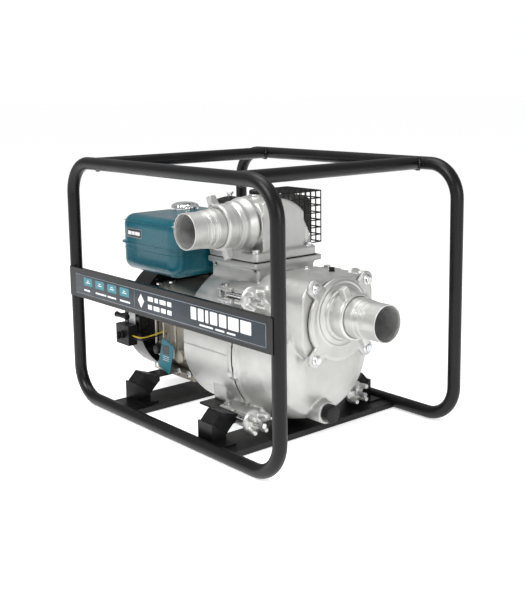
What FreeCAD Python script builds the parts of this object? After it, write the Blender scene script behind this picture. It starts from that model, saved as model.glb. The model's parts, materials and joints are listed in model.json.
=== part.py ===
"""Gas engine trash pump in a tubular carrying frame.

The pump end faces +X with its suction port, the discharge port faces -Y, and +Z is up.
The origin is on the floor, under the middle of the whole machine.
Every driving size is a cell of the "sizes" sheet; lengths are in millimetres, angles in degrees.
"""
import FreeCAD
import Part
import Sketcher
import math
import os

V = FreeCAD.Vector

SIZES = {
    # carrying frame
    "frame_length": 690, "frame_width": 486, "frame_height": 535, "frame_shift": -8,
    "tube_radius": 13, "tube_wall": 2, "bend_radius": 67, "cross_tube_spacing": 470,
    "channel_width": 90, "channel_top": 14, "channel_bottom": 2, "channel_wall": 3,
    "rear_channel_pos": -198, "front_channel_pos": 125,
    "panel_height": 63, "panel_base": 236, "panel_sheet": 2.5,
    # rubber mounts
    "mount_length": 44, "mount_offset": 160, "front_mount_offset": 196, "front_mount_pos": 90,
    "rubber_height": 24, "rubber_width": 40, "arm_sheet": 4,
    # common heights and clearances
    "shaft_height": 166, "shaft_radius": 12.5, "running_gap": 0.05, "free_gap": 0.5,
    # pump casing
    "casing_back": -70, "split_pos": 92, "casing_radius": 146, "casing_wall": 8,
    "flange_radius": 150, "flange_depth": 12, "gasket_depth": 1.5, "neck_top": 337,
    "neck_rear": -62, "neck_front": 86, "neck_half_width": 74, "neck_passage": 50,
    "chest_half_width": 92, "chest_base": 172, "chest_top": 318, "chest_front": 231,
    "chest_corner": 38, "chest_bore": 62,
    # suction cover
    "port_height": 253, "cover_radius": 82, "cover_depth": 8, "cover_lobe": 17,
    "cover_bolt_offset": 67, "cover_bolt_height": 242, "port_bore": 32,
    # elbow
    "elbow_pos": 29, "outlet_height": 407, "elbow_radius": 46, "elbow_bore": 34,
    "elbow_flange_depth": 17, "elbow_flange_half": 82, "elbow_collar_face": -118,
    "elbow_back_radius": 96, "filler_boss_radius": 15, "filler_bore_radius": 9,
    # hose tails and coupling nuts
    "thread_radius": 41.2, "thread_length": 24, "nut_radius": 45.5, "nut_length": 32,
    "tail_tip_radius": 35.5, "tail_root_radius": 38.5, "tail_bore": 30, "tail_length": 72,
    "tail_land": 30, "tail_flange_depth": 6, "washer_depth": 1.5,
    # clamps
    "clamp_height": 119, "clamp_offset": 136, "pin_pos": 60, "pin_radius": 4,
    "eye_radius": 11, "eye_depth": 13, "stud_radius": 5, "stud_length": 112,
    "lug_half_height": 15, "lug_reach": 143, "front_lug_depth": 34, "knob_radius": 25,
    "knob_gap": 0.8, "knob_hub_radius": 14, "knob_hub_length": 14, "prong_length": 42,
    # drain plug
    "drain_offset": -22, "drain_height": 60, "drain_boss_radius": 22, "drain_thread": 14,
    "drain_face": 224, "plug_head": 17, "plug_head_depth": 15,
    # wet end
    "volute_radius": 100, "volute_bore": 88, "impeller_radius": 76, "vane_depth": 30,
    # engine
    "engine_rear": -258, "engine_front": -108, "engine_half_width": 78, "engine_base": 60,
    "engine_top": 250, "engine_wall": 8, "side_cover_depth": 24, "barrel_reach": 92,
    "fin_size": 100, "fin_depth": 3, "fin_pitch": 11, "fin_count": 7, "barrel_lean": 25,
    "blower_radius": 126, "blower_rear": -318, "blower_front": -262, "shell_wall": 2.5,
    "flywheel_radius": 92, "recoil_radius": 102, "recoil_depth": 20,
    # tank
    "tank_rear": -270, "tank_front": -72, "tank_near": -160, "tank_far": 50,
    "tank_base": 292, "tank_top": 412, "tank_corner": 24, "tank_wall": 1.5,
    "tank_seam_height": 350, "seam_reach": 9, "filler_pos": -195, "filler_offset": -43,
    "filler_radius": 22, "cap_radius": 31, "cap_height": 20,
    # muffler and guard
    "guard_rear": -118, "guard_front": -8, "guard_near": 90, "guard_far": 182,
    "guard_base": 342, "guard_top": 453, "wire_radius": 1.5, "wire_pitch": 14,
    # air cleaner
    "cleaner_pos": -264, "cleaner_offset": 134, "cleaner_radius": 52, "cleaner_base": 345,
    "cleaner_top": 424,
    # cords
    "lead_radius": 3.5, "hose_radius": 5, "wire_core_radius": 1.6,
    # fasteners
    "bolt_radius": 5, "bolt_head_radius": 8, "bolt_head_depth": 7,
}

doc = FreeCAD.newDocument("trash_pump")
sheet = doc.addObject("Spreadsheet::Sheet", "sizes")
for row, (alias, value) in enumerate(SIZES.items(), start=1):
    sheet.set(f"A{row}", alias)
    sheet.set(f"B{row}", str(value))
    sheet.setAlias(f"B{row}", alias)
doc.recompute()


class Length:
    """A size with both its present value and the sheet formula that gives it."""

    def __init__(self, value, formula):
        self.value = float(value)
        self.formula = formula

    def _pair(self, other, sign, swap=False):
        if not isinstance(other, Length):
            other = Length(other, repr(other))
        first, second = (other, self) if swap else (self, other)
        result = {"+": lambda a, b: a + b, "-": lambda a, b: a - b,
                  "*": lambda a, b: a * b, "/": lambda a, b: a / b}[sign](first.value, second.value)
        return Length(result, f"({first.formula} {sign} {second.formula})")

    def __add__(self, other):
        return self._pair(other, "+")

    def __radd__(self, other):
        return self._pair(other, "+", True)

    def __sub__(self, other):
        return self._pair(other, "-")

    def __rsub__(self, other):
        return self._pair(other, "-", True)

    def __mul__(self, other):
        return self._pair(other, "*")

    def __rmul__(self, other):
        return self._pair(other, "*", True)

    def __truediv__(self, other):
        return self._pair(other, "/")

    def __neg__(self):
        return Length(-self.value, f"(0 - {self.formula})")

    def __float__(self):
        return self.value


class Sizes:
    """Reads a cell of the sheet as an attribute."""

    def __getattr__(self, alias):
        return Length(sheet.get(alias), f"sizes.{alias}")


D = Sizes()

X_AXIS, Y_AXIS, Z_AXIS = V(1, 0, 0), V(0, 1, 0), V(0, 0, 1)
# each turn carries a piece's own Z axis to the named direction
TURNS = {
    "+Z": FreeCAD.Rotation(),
    "-Z": FreeCAD.Rotation(X_AXIS, 180),
    "+X": FreeCAD.Rotation(V(1, 1, 1), 120),
    "-X": FreeCAD.Rotation(Y_AXIS, -90),
    "+Y": FreeCAD.Rotation(V(1, 1, 1), 240),
    "-Y": FreeCAD.Rotation(X_AXIS, 90),
}
PARTS = []


# ---------------------------------------------------------------- building blocks

def bind(thing, prop, size):
    """Sets a property to a plain number, or ties it to the sheet."""
    if isinstance(size, Length):
        thing.setExpression(prop, size.formula)
    else:
        setattr(thing, prop, size)


def place(thing, at, turn="+Z"):
    """Puts a piece's origin at a point and turns it; the point follows the sheet."""
    rotation = TURNS[turn] if isinstance(turn, str) else turn
    thing.Placement = FreeCAD.Placement(V(*[float(c) for c in at]), rotation)
    for letter, size in zip("xyz", at):
        if isinstance(size, Length):
            thing.setExpression(f"Placement.Base.{letter}", size.formula)
    return thing


def box(low, size, turn="+Z"):
    thing = doc.addObject("Part::Box", "block")
    for prop, length in zip(("Length", "Width", "Height"), size):
        bind(thing, prop, length)
    return place(thing, low, turn)


def cylinder(radius, height, at, turn="+Z"):
    thing = doc.addObject("Part::Cylinder", "round")
    bind(thing, "Radius", radius)
    bind(thing, "Height", height)
    return place(thing, at, turn)


def bend(major, minor, at, turn):
    """A quarter of a torus, swept from its own X axis to its own Y axis."""
    thing = doc.addObject("Part::Torus", "bend")
    bind(thing, "Radius1", major)
    bind(thing, "Radius2", minor)
    thing.Angle3 = 90
    return place(thing, at, turn)


def union(*pieces):
    if len(pieces) == 1:
        return pieces[0]
    thing = doc.addObject("Part::MultiFuse", "union")
    thing.Shapes = list(pieces)
    thing.Refine = True
    return thing


def minus(base, *tools):
    thing = doc.addObject("Part::Cut", "cut")
    thing.Base = base
    thing.Tool = union(*tools)
    return thing


def group(*pieces):
    """Like pieces that stay separate solids."""
    thing = doc.addObject("Part::Compound", "group")
    thing.Links = list(pieces)
    return thing


def rounded(base, radius, chosen):
    """Fillets the edges for which chosen(edge) is true."""
    doc.recompute()
    thing = doc.addObject("Part::Fillet", "rounded")
    thing.Base = base
    edges = enumerate(base.Shape.Edges, start=1)
    thing.Edges = [(i, float(radius), float(radius)) for i, edge in edges if chosen(edge)]
    return thing


def runs_along(axis):
    """A test for straight edges parallel to an axis."""
    def test(edge):
        if edge.Curve.TypeId != "Part::GeomLine":
            return False
        return abs(edge.Curve.Direction.dot(axis)) > 0.999
    return test


def ring(outer, inner, depth, at, turn):
    """A flat ring; its hole is cut past both faces."""
    return minus(cylinder(outer, depth, at, turn), cylinder(inner, depth, at, turn))


def draw(body, outline, plane="XZ_Plane"):
    """A closed polygon in a sketch whose corners are all dimensioned from the origin."""
    sketch = body.newObject("Sketcher::SketchObject", "outline")
    base = [f for f in body.Origin.OriginFeatures if f.Role == plane][0]
    sketch.AttachmentSupport = [(base, "")]
    sketch.MapMode = "FlatFace"
    count = len(outline)
    corners = [V(float(a), float(b), 0) for a, b in outline]
    for i in range(count):
        sketch.addGeometry(Part.LineSegment(corners[i], corners[(i + 1) % count]))
    for i in range(count):
        sketch.addConstraint(Sketcher.Constraint("Coincident", i, 2, (i + 1) % count, 1))
    for i, corner in enumerate(outline):
        for kind, axis, size in (("DistanceX", -2, corner[0]), ("DistanceY", -1, corner[1])):
            if not isinstance(size, Length) and size == 0:
                sketch.addConstraint(Sketcher.Constraint("PointOnObject", i, 1, axis))
                continue
            number = sketch.addConstraint(Sketcher.Constraint(kind, -1, 1, i, 1, float(size)))
            if isinstance(size, Length):
                sketch.setExpression(f"Constraints[{number}]", size.formula)
    return sketch


def draw_circle(body, radius, centre=(0, 0), plane="XY_Plane"):
    """A circle in a sketch, dimensioned from the origin."""
    sketch = body.newObject("Sketcher::SketchObject", "circle")
    base = [f for f in body.Origin.OriginFeatures if f.Role == plane][0]
    sketch.AttachmentSupport = [(base, "")]
    sketch.MapMode = "FlatFace"
    middle = V(float(centre[0]), float(centre[1]), 0)
    sketch.addGeometry(Part.Circle(middle, Z_AXIS, float(radius)))
    number = sketch.addConstraint(Sketcher.Constraint("Radius", 0, float(radius)))
    if isinstance(radius, Length):
        sketch.setExpression(f"Constraints[{number}]", radius.formula)
    for kind, axis, size in (("DistanceX", -2, centre[0]), ("DistanceY", -1, centre[1])):
        if not isinstance(size, Length) and size == 0:
            sketch.addConstraint(Sketcher.Constraint("PointOnObject", 0, 3, axis))
            continue
        number = sketch.addConstraint(Sketcher.Constraint(kind, -1, 1, 0, 3, float(size)))
        if isinstance(size, Length):
            sketch.setExpression(f"Constraints[{number}]", size.formula)
    return sketch


def new_body(at, turn="+Z"):
    body = doc.addObject("PartDesign::Body", "body")
    place(body, at, turn)
    return body


def lathe(outline, at, turn="+Z"):
    """A turned piece: (radius, height) corners revolved about the body's own Z axis."""
    body = new_body(at, turn)
    sketch = draw(body, outline)
    turned = body.newObject("PartDesign::Revolution", "turned")
    turned.Profile = sketch
    turned.ReferenceAxis = (sketch, ["V_Axis"])
    turned.Angle = 360
    return body


def pad(body, sketch, depth, both_ways=False, backwards=False):
    feature = body.newObject("PartDesign::Pad", "pad")
    feature.Profile = sketch
    bind(feature, "Length", depth)
    feature.Midplane = both_ways
    feature.Reversed = backwards
    return feature


def pocket(body, sketch, depth, backwards=True):
    feature = body.newObject("PartDesign::Pocket", "pocket")
    feature.Profile = sketch
    bind(feature, "Length", depth)
    feature.Reversed = backwards
    return feature


def around(body, feature, count):
    """Repeats a feature evenly about the body's own Z axis."""
    pattern = body.newObject("PartDesign::PolarPattern", "around")
    pattern.Originals = [feature]
    pattern.Axis = ([f for f in body.Origin.OriginFeatures if f.Role == "Z_Axis"][0], [""])
    pattern.Angle = 360
    pattern.Occurrences = count
    body.Tip = pattern
    return pattern


def prism(outline, depth, at, turn="+Z"):
    """A polygon in the body's own XY plane, raised along its own Z axis."""
    body = new_body(at, turn)
    pad(body, draw(body, outline, "XY_Plane"), depth)
    return body


def cord(points, radius):
    """A round cord along straight runs joined by tangent arcs as large as the runs allow."""
    points = [V(*[float(c) for c in p]) for p in points]
    edges = []
    start = points[0]
    for before, corner, after in zip(points, points[1:], points[2:]):
        inward = corner - before
        outward = after - corner
        half_turn = inward.getAngle(outward) / 2
        trim = 0.45 * min(inward.Length, outward.Length)
        bend_size = trim / math.tan(half_turn)
        print(f"cord bend radius {bend_size:.1f}")
        arc_start = corner - inward.normalize() * trim
        arc_end = corner + outward.normalize() * trim
        middle = (arc_start + arc_end) / 2
        centre = corner + (middle - corner).normalize() * (trim / math.sin(half_turn))
        crown = centre + (corner - centre).normalize() * bend_size
        edges.append(Part.LineSegment(start, arc_start).toShape())
        edges.append(Part.Arc(arc_start, crown, arc_end).toShape())
        start = arc_end
    edges.append(Part.LineSegment(start, points[-1]).toShape())
    path = Part.Wire(edges)
    direction = points[1] - points[0]
    section = Part.Wire(Part.makeCircle(float(radius), points[0], direction))
    tube = path.makePipeShell([section], True, False)
    expected = math.pi * float(radius) ** 2 * path.Length
    print(f"cord length {path.Length:.0f} mm, volume ratio {tube.Volume / expected:.3f}")
    thing = doc.addObject("Part::Feature", "cord")
    thing.Shape = tube
    return thing


def part(name, thing):
    """Names a finished sub-part."""
    thing.Label = name
    PARTS.append(thing)
    return thing


# ---------------------------------------------------------------- frame

LOOP_OFFSET = D.frame_width / 2 - D.tube_radius
POST_REACH = D.frame_length / 2 - D.tube_radius
TOP_LINE = D.frame_height - D.tube_radius


def tube_loop(radius, offset):
    """A rounded rectangle of round bar in an XZ plane: four straights and four quarter bends."""
    run_x = 2 * (POST_REACH - D.bend_radius)
    run_z = TOP_LINE - D.tube_radius - 2 * D.bend_radius
    reach = POST_REACH - D.bend_radius
    low = D.tube_radius + D.bend_radius
    high = TOP_LINE - D.bend_radius
    pieces = [cylinder(radius, run_x, (D.frame_shift - reach, offset, line), "+X")
              for line in (D.tube_radius, TOP_LINE)]
    pieces += [cylinder(radius, run_z, (D.frame_shift + side * POST_REACH, offset, low))
               for side in (-1, 1)]
    corners = ((1, high), (-1, high), (-1, low), (1, low))
    for quarter, (side, level) in enumerate(corners):
        turn = FreeCAD.Rotation(V(0, -1, 0), 90 * quarter).multiply(TURNS["-Y"])
        pieces.append(bend(D.bend_radius, radius, (D.frame_shift + side * reach, offset, level), turn))
    return union(*pieces)


def coping_bars(line):
    """The two loop tubes that a cross piece is shaped to meet."""
    start = D.frame_shift - D.frame_length / 2
    return [cylinder(D.tube_radius, D.frame_length, (start, side * LOOP_OFFSET, line),
                     "+X") for side in (-1, 1)]


def make_frame():
    for name, side in (("frame_loop_left", -1), ("frame_loop_right", 1)):
        offset = side * LOOP_OFFSET
        outer = tube_loop(D.tube_radius, offset)
        part(name, minus(outer, tube_loop(D.tube_radius - D.tube_wall, offset)))
    bars = []
    for side in (-1, 1):
        start = (D.frame_shift + side * D.cross_tube_spacing / 2, -LOOP_OFFSET, TOP_LINE)
        bar = ring(D.tube_radius, D.tube_radius - D.tube_wall, 2 * LOOP_OFFSET, start, "+Y")
        bars.append(minus(bar, *coping_bars(TOP_LINE)))
    part("top_tubes", group(*bars))


def mount_spots():
    """Centre along X, side and distance out along Y of the four rubber mounts."""
    rear = D.rear_channel_pos - 22
    return [(rear, -1, D.mount_offset), (rear, 1, D.mount_offset),
            (D.front_mount_pos, -1, D.front_mount_offset), (D.front_mount_pos, 1, D.front_mount_offset)]


SEAT_LOW = 20
SEAT_HIGH = 52


def mount_piece(outline, spot, half_length):
    """A prism across the X direction, centred on a mount; its outline is (outward, up)."""
    centre, side, offset = spot
    corners = [(side * (offset + out), up) for out, up in outline]
    return prism(corners, 2 * half_length, (centre - half_length, 0, 0), "+X")


def make_base():
    channels = []
    for centre in (D.rear_channel_pos, D.front_channel_pos):
        low = (centre - D.channel_width / 2, -LOOP_OFFSET, D.channel_bottom)
        outside = box(low, (D.channel_width, 2 * LOOP_OFFSET, D.channel_top - D.channel_bottom))
        inside_low = (centre - D.channel_width / 2 + D.channel_wall, -LOOP_OFFSET, D.channel_bottom)
        inside = box(inside_low, (D.channel_width - 2 * D.channel_wall, 2 * LOOP_OFFSET,
                                  D.channel_top - D.channel_bottom - D.channel_wall))
        channels.append(minus(outside, inside, *coping_bars(D.tube_radius)))
    seat = [(-16, D.channel_top), (18, D.channel_top), (18, SEAT_HIGH), (14, SEAT_HIGH), (-16, SEAT_LOW + 2)]
    brackets = []
    for centre, side, offset in mount_spots():
        wedge = mount_piece(seat, (centre, side, offset), D.mount_length / 2)
        low = (centre - D.mount_length / 2, side * (offset + 1) - 17, D.channel_top)
        brackets.append(union(wedge, box(low, (D.mount_length + 30, 34, D.channel_wall))))
    part("base_channels", group(*channels, *brackets))

    # rubber blocks lean 45 degrees on the brackets' seats
    lean = math.sqrt(0.5)
    seat_mid = (-1.0, (SEAT_LOW + 2 + SEAT_HIGH) / 2)
    half = D.rubber_width / 2 * lean
    rise = D.rubber_height * lean
    block = [(seat_mid[0] - half, seat_mid[1] - half), (seat_mid[0] + half, seat_mid[1] + half),
             (seat_mid[0] + half - rise, seat_mid[1] + half + rise),
             (seat_mid[0] - half - rise, seat_mid[1] - half + rise)]
    blocks = [mount_piece(block, spot, D.mount_length / 2 - 2) for spot in mount_spots()]
    part("rubber_mounts", group(*blocks))


def make_panel():
    """Flat steel band across the left loop, on the posts' outer side, with returned edges."""
    length = 2 * POST_REACH - 2 * D.tube_radius + 30
    low = (D.frame_shift - length / 2, -LOOP_OFFSET - D.tube_radius - D.panel_sheet, D.panel_base)
    band = box(low, (length, D.panel_sheet, D.panel_height))
    lips = [box((low[0], low[1] + D.panel_sheet, low[2] + lift), (length, 6, D.panel_sheet))
            for lift in (0, D.panel_height - D.panel_sheet)]
    posts = [cylinder(D.tube_radius, D.panel_height, (D.frame_shift + side * POST_REACH, -LOOP_OFFSET,
                                                      D.panel_base)) for side in (-1, 1)]
    part("name_panel", minus(union(band, *lips), *posts))


# ---------------------------------------------------------------- pump casing

def clamp_spots():
    """Index, side and height of the four swing clamps, seen from the suction end."""
    low = D.shaft_height - D.clamp_height
    high = D.shaft_height + D.clamp_height
    return [(1, -1, high), (2, 1, high), (3, -1, low), (4, 1, low)]


def lug(spot, start, depth, reach, slot_half, slot_start):
    """A horizontal lug that reaches out from the casing flange, and the slot for its stud."""
    index, side, height = spot
    root = D.clamp_offset - 56
    turn = "+Z" if side > 0 else "-Z"
    rise = height - side * D.lug_half_height
    bar = box((start, side * root, rise), (depth, reach - root, 2 * D.lug_half_height), turn)
    slot = box((start, side * slot_start, height - side * slot_half), (depth, reach, 2 * slot_half), turn)
    return bar, slot


REAR_LUG_START = D.pin_pos - D.eye_radius - 1
REAR_LUG_REACH = D.clamp_offset + D.eye_radius + 1
REAR_SLOT_START = D.clamp_offset - D.eye_radius - 3
FRONT_SLOT_START = D.clamp_offset - D.stud_radius - 4
SPLIT_REAR = D.split_pos - D.gasket_depth / 2
SPLIT_FRONT = D.split_pos + D.gasket_depth / 2


CASING_FOOT_START = 4
CASING_FOOT_LENGTH = 40


def make_rear_casing():
    length = SPLIT_REAR - D.casing_back
    drum = cylinder(D.casing_radius, length, (D.casing_back, 0, D.shaft_height), "+X")
    flange = cylinder(D.flange_radius, D.flange_depth,
                      (SPLIT_REAR - D.flange_depth, 0, D.shaft_height), "+X")
    neck_low = D.shaft_height + 40
    neck = box((D.neck_rear, -D.neck_half_width, neck_low),
               (D.neck_front - D.neck_rear, 2 * D.neck_half_width, D.neck_top - neck_low))
    pad_top = box((D.neck_rear - 3, -D.elbow_flange_half, D.neck_top - 12),
                  (D.neck_front - D.neck_rear + 4, 2 * D.elbow_flange_half + 12, 12))
    shoulder = prism([(-125, 205), (125, 205), (112, 262), (66, 296), (-66, 296), (-112, 262)],
                     length - 6, (D.casing_back, 0, 0), "+X")
    feet = [box((CASING_FOOT_START, side * 98 - 28, D.engine_base), (CASING_FOOT_LENGTH, 56, 50))
            for side in (-1, 1)]
    lugs = []
    slots = []
    for spot in clamp_spots():
        bar, slot = lug(spot, REAR_LUG_START, SPLIT_REAR - REAR_LUG_START, REAR_LUG_REACH,
                        D.eye_depth / 2 + D.free_gap, REAR_SLOT_START)
        lugs.append(bar)
        slots.append(slot)
    outside = union(drum, flange, neck, pad_top, shoulder, *feet, *lugs)
    cavity = cylinder(D.casing_radius - D.casing_wall, length,
                      (D.casing_back + D.casing_wall, 0, D.shaft_height), "+X")
    passage = box((D.elbow_pos - D.neck_passage, -D.neck_passage, D.shaft_height),
                  (2 * D.neck_passage, 2 * D.neck_passage, D.neck_top))
    shaft_hole = cylinder(24, D.casing_wall + 2, (D.casing_back - 1, 0, D.shaft_height), "+X")
    pin_holes = [cylinder(D.pin_radius, 2 * D.lug_half_height + 4,
                          (D.pin_pos, side * D.clamp_offset, height - D.lug_half_height - 2))
                 for index, side, height in clamp_spots()]
    holes = [bolt_hole(spot, 30) for spot in elbow_bolt_spots()]
    part("rear_casing", minus(outside, cavity, passage, shaft_hole, *slots, *pin_holes, *holes))


def make_front_casing():
    r_out = D.casing_radius
    dome = lathe([(0, 117), (70, 117), (88, 115), (107, 108), (122, 92), (135, 68), (143, 38),
                  (r_out - 1, 10), (D.flange_radius, 10), (D.flange_radius, 0), (0, 0)],
                 (SPLIT_FRONT, 0, D.shaft_height), "+X")
    chest = box((SPLIT_FRONT + 8, -D.chest_half_width, D.chest_base),
                (D.chest_front - SPLIT_FRONT - 8, 2 * D.chest_half_width, D.chest_top - D.chest_base))
    chest = rounded(chest, D.chest_corner, runs_along(X_AXIS))
    boss = cylinder(D.drain_boss_radius, 50, (D.drain_face - 50, D.drain_offset, D.drain_height), "+X")
    lugs = []
    slots = []
    for spot in clamp_spots():
        bar, slot = lug(spot, SPLIT_FRONT, D.front_lug_depth, D.lug_reach, D.stud_radius + 1,
                        FRONT_SLOT_START)
        lugs.append(bar)
        slots.append(slot)
    inner = lathe([(0, 106), (70, 106), (95, 98), (113, 84), (125, 62), (133, 36),
                   (r_out - D.casing_wall, 0), (0, 0)], (SPLIT_FRONT, 0, D.shaft_height), "+X")
    bore = cylinder(D.chest_bore, D.chest_front, (SPLIT_FRONT, 0, D.port_height - 4), "+X")
    drain = cylinder(D.drain_thread, 60, (D.drain_face - 50, D.drain_offset, D.drain_height), "+X")
    holes = [bolt_hole(spot, 24) for spot in cover_bolt_spots()]
    part("front_casing", minus(union(dome, chest, boss, *lugs), inner, bore, drain, *slots, *holes))


# ---------------------------------------------------------------- hex bolts

def cover_bolt_spots():
    """Head seat point and outward direction of the suction cover's bolts."""
    face = COVER_FACE
    return [((face, y * D.cover_bolt_offset, D.cover_bolt_height + z * D.cover_bolt_offset), "+X")
            for y in (-1, 1) for z in (-1, 1)]


def elbow_bolt_spots():
    """Head seat point and outward direction of the elbow's bolts."""
    top = D.neck_top + D.gasket_depth + D.elbow_flange_depth
    inset = 12
    return [((x, side * (D.elbow_flange_half - inset), top), "+Z")
            for x in (D.neck_rear + inset, D.neck_front - inset) for side in (-1, 1)]


def bolt_hole(spot, depth):
    """A tapping hole that runs down from a bolt's head seat."""
    at, direction = spot
    down = {"+X": "-X", "+Z": "-Z"}[direction]
    return cylinder(D.bolt_radius + D.running_gap, depth + 8, at, down)


def hex_bolt(spot, depth):
    """Flanged hexagon head with a shank that runs down from its seat."""
    at, direction = spot
    hexagon = doc.addObject("Part::Prism", "hexagon")
    hexagon.Polygon = 6
    bind(hexagon, "Circumradius", D.bolt_head_radius)
    bind(hexagon, "Height", D.bolt_head_depth)
    place(hexagon, at, direction)
    washer = cylinder(D.bolt_head_radius + 1.5, 1.8, at, direction)
    down = {"+X": "-X", "+Z": "-Z"}[direction]
    return union(hexagon, washer, cylinder(D.bolt_radius, depth, at, down))


COVER_FACE = D.chest_front + D.gasket_depth + D.cover_depth
PORT_FACE = COVER_FACE + 28


def make_suction_cover():
    start = D.chest_front + D.gasket_depth
    body = new_body((start, 0, 0), "+X")
    pad(body, draw_circle(body, D.cover_radius, (0, D.cover_bolt_height)), D.cover_depth)
    for y in (-1, 1):
        for z in (-1, 1):
            centre = (y * D.cover_bolt_offset, D.cover_bolt_height + z * D.cover_bolt_offset)
            pad(body, draw_circle(body, D.cover_lobe, centre), D.cover_depth)
    pad(body, draw_circle(body, 57, (0, D.port_height)), D.cover_depth + 4)
    pad(body, draw_circle(body, 48, (0, D.port_height)), D.cover_depth + 9)
    pad(body, draw_circle(body, D.thread_radius, (0, D.port_height)), PORT_FACE - start)
    pocket(body, draw_circle(body, D.port_bore, (0, D.port_height)), 60)
    holes = [bolt_hole(spot, 4) for spot in cover_bolt_spots()]
    part("suction_cover", minus(body, *holes))


def make_gaskets():
    """Flat rubber gaskets: casing joint, suction cover, elbow, and the two tail washers."""
    casing = ring(D.flange_radius, D.casing_radius - D.casing_wall, D.gasket_depth,
                  (SPLIT_REAR, 0, D.shaft_height), "+X")
    cover = minus(cylinder(D.cover_radius - 3, D.gasket_depth, (D.chest_front, 0, D.cover_bolt_height), "+X"),
                  cylinder(D.chest_bore, D.gasket_depth, (D.chest_front, 0, D.port_height - 4), "+X"))
    elbow = minus(box((D.neck_rear, 2 - D.elbow_flange_half, D.neck_top),
                      (D.neck_front - D.neck_rear, 2 * D.elbow_flange_half - 4, D.gasket_depth)),
                  box((D.elbow_pos - D.neck_passage, -D.neck_passage, D.neck_top),
                      (2 * D.neck_passage, 2 * D.neck_passage, D.gasket_depth)),
                  *[bolt_hole(spot, 30) for spot in elbow_bolt_spots()])
    suction = ring(D.thread_radius - 1, D.tail_bore + 1, D.washer_depth, (PORT_FACE, 0, D.port_height), "+X")
    discharge = ring(D.thread_radius - 1, D.tail_bore + 1, D.washer_depth,
                     (D.elbow_pos, D.elbow_collar_face, D.outlet_height), "-Y")
    part("gaskets", group(casing, cover, elbow, suction, discharge))


# ---------------------------------------------------------------- elbow and hose tails

# top of the priming filler's boss
FILLER = (D.elbow_pos - 10, -22, 464)


def make_elbow():
    """Flange, a quarter bend that turns towards -Y, a quarter-round back, a collar and a filler boss."""
    base = D.neck_top + D.gasket_depth
    top = base + D.elbow_flange_depth
    sweep = D.outlet_height - top
    flange = box((D.neck_rear - 3, -D.elbow_flange_half, base),
                 (D.neck_front - D.neck_rear + 4, 2 * D.elbow_flange_half, D.elbow_flange_depth))
    flange = rounded(flange, 10, runs_along(Z_AXIS))
    # the quarter bend runs from straight up at y = 0 to the -Y direction
    centre = (D.elbow_pos, -sweep, top)
    outer = bend(sweep, D.elbow_radius, centre, "+X")
    inner = bend(sweep, D.elbow_bore, centre, "+X")
    back_reach = D.elbow_back_radius + 10
    back = minus(cylinder(D.elbow_back_radius, 2 * D.elbow_radius,
                          (D.elbow_pos - D.elbow_radius, -14, top + 6), "+X"),
                 box((D.elbow_pos - D.elbow_radius, -14 - back_reach, top - back_reach),
                     (2 * D.elbow_radius, 2 * back_reach, back_reach)),
                 box((D.elbow_pos - D.elbow_radius, -sweep - 2 * back_reach, top - back_reach),
                     (2 * D.elbow_radius, 2 * back_reach, 3 * back_reach)))
    collar = cylinder(D.elbow_radius + 3, -D.elbow_collar_face - D.thread_length - sweep,
                      (D.elbow_pos, -sweep, D.outlet_height), "-Y")
    thread = cylinder(D.thread_radius, D.thread_length,
                      (D.elbow_pos, D.elbow_collar_face + D.thread_length, D.outlet_height), "-Y")
    filler = cylinder(D.filler_boss_radius, 24, (FILLER[0], FILLER[1], FILLER[2] - 24))
    filler_bore = cylinder(D.filler_bore_radius, 50, (FILLER[0], FILLER[1], FILLER[2] - 50))
    mouth = cylinder(D.elbow_bore, D.elbow_flange_depth, (D.elbow_pos, 0, base))
    outlet = (D.elbow_pos, -sweep, D.outlet_height)
    way_out = cylinder(D.elbow_bore, -D.elbow_collar_face - sweep, outlet, "-Y")
    holes = [bolt_hole(spot, 20) for spot in elbow_bolt_spots()]
    # upright flutes leave room for the bolt heads and a socket
    flutes = [cylinder(D.bolt_head_radius + 5, 120, at) for at, direction in elbow_bolt_spots()]
    solid = union(flange, outer, back, collar, thread, filler)
    part("elbow", minus(solid, inner, mouth, way_out, filler_bore, *holes, *flutes))


def hose_tail(name, face, turn):
    """Hose tail: a flange that the coupling nut holds, then a taper that ends in a plain land."""
    flange_top = D.tail_flange_depth
    tip = D.tail_flange_depth + 8 + D.tail_length
    outline = [(D.tail_bore, 0), (D.thread_radius, 0), (D.thread_radius, flange_top),
               (D.tail_root_radius, flange_top), (D.tail_root_radius, flange_top + 22),
               (D.tail_tip_radius, tip - D.tail_land), (D.tail_tip_radius, tip), (D.tail_bore, tip)]
    part(name, lathe(outline, face, turn))


def coupling_nut(name, seat, turn, lug_angle):
    """Ring nut with an inner lip and two spanner lugs; it starts behind the collar's face."""
    bore = D.thread_radius + 0.4
    lip = D.tail_root_radius + 0.4
    inside = D.nut_length - 7
    outline = [(bore, 0), (D.nut_radius, 0), (D.nut_radius, D.nut_length), (lip, D.nut_length),
               (lip, inside), (bore, inside)]
    body = lathe(outline, seat, TURNS[turn] * FreeCAD.Rotation(Z_AXIS, lug_angle))
    handle = draw(body, [(D.nut_radius - 2, 10), (D.nut_radius + 20, 14), (D.nut_radius + 20, 26),
                         (D.nut_radius - 2, 30)])
    spanner = pad(body, handle, 9, both_ways=True)
    around(body, spanner, 2)
    return part(name, body)


def make_couplings():
    port_tail = PORT_FACE + D.washer_depth
    hose_tail("suction_tail", (port_tail, 0, D.port_height), "+X")
    inside = D.nut_length - 7 - D.tail_flange_depth - D.washer_depth - 0.3
    coupling_nut("suction_nut", (PORT_FACE - inside, 0, D.port_height), "+X", 117)
    outlet_tail = D.elbow_collar_face - D.washer_depth
    hose_tail("discharge_tail", (D.elbow_pos, outlet_tail, D.outlet_height), "-Y")
    coupling_nut("discharge_nut", (D.elbow_pos, D.elbow_collar_face + inside, D.outlet_height), "-Y", 115)


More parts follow.
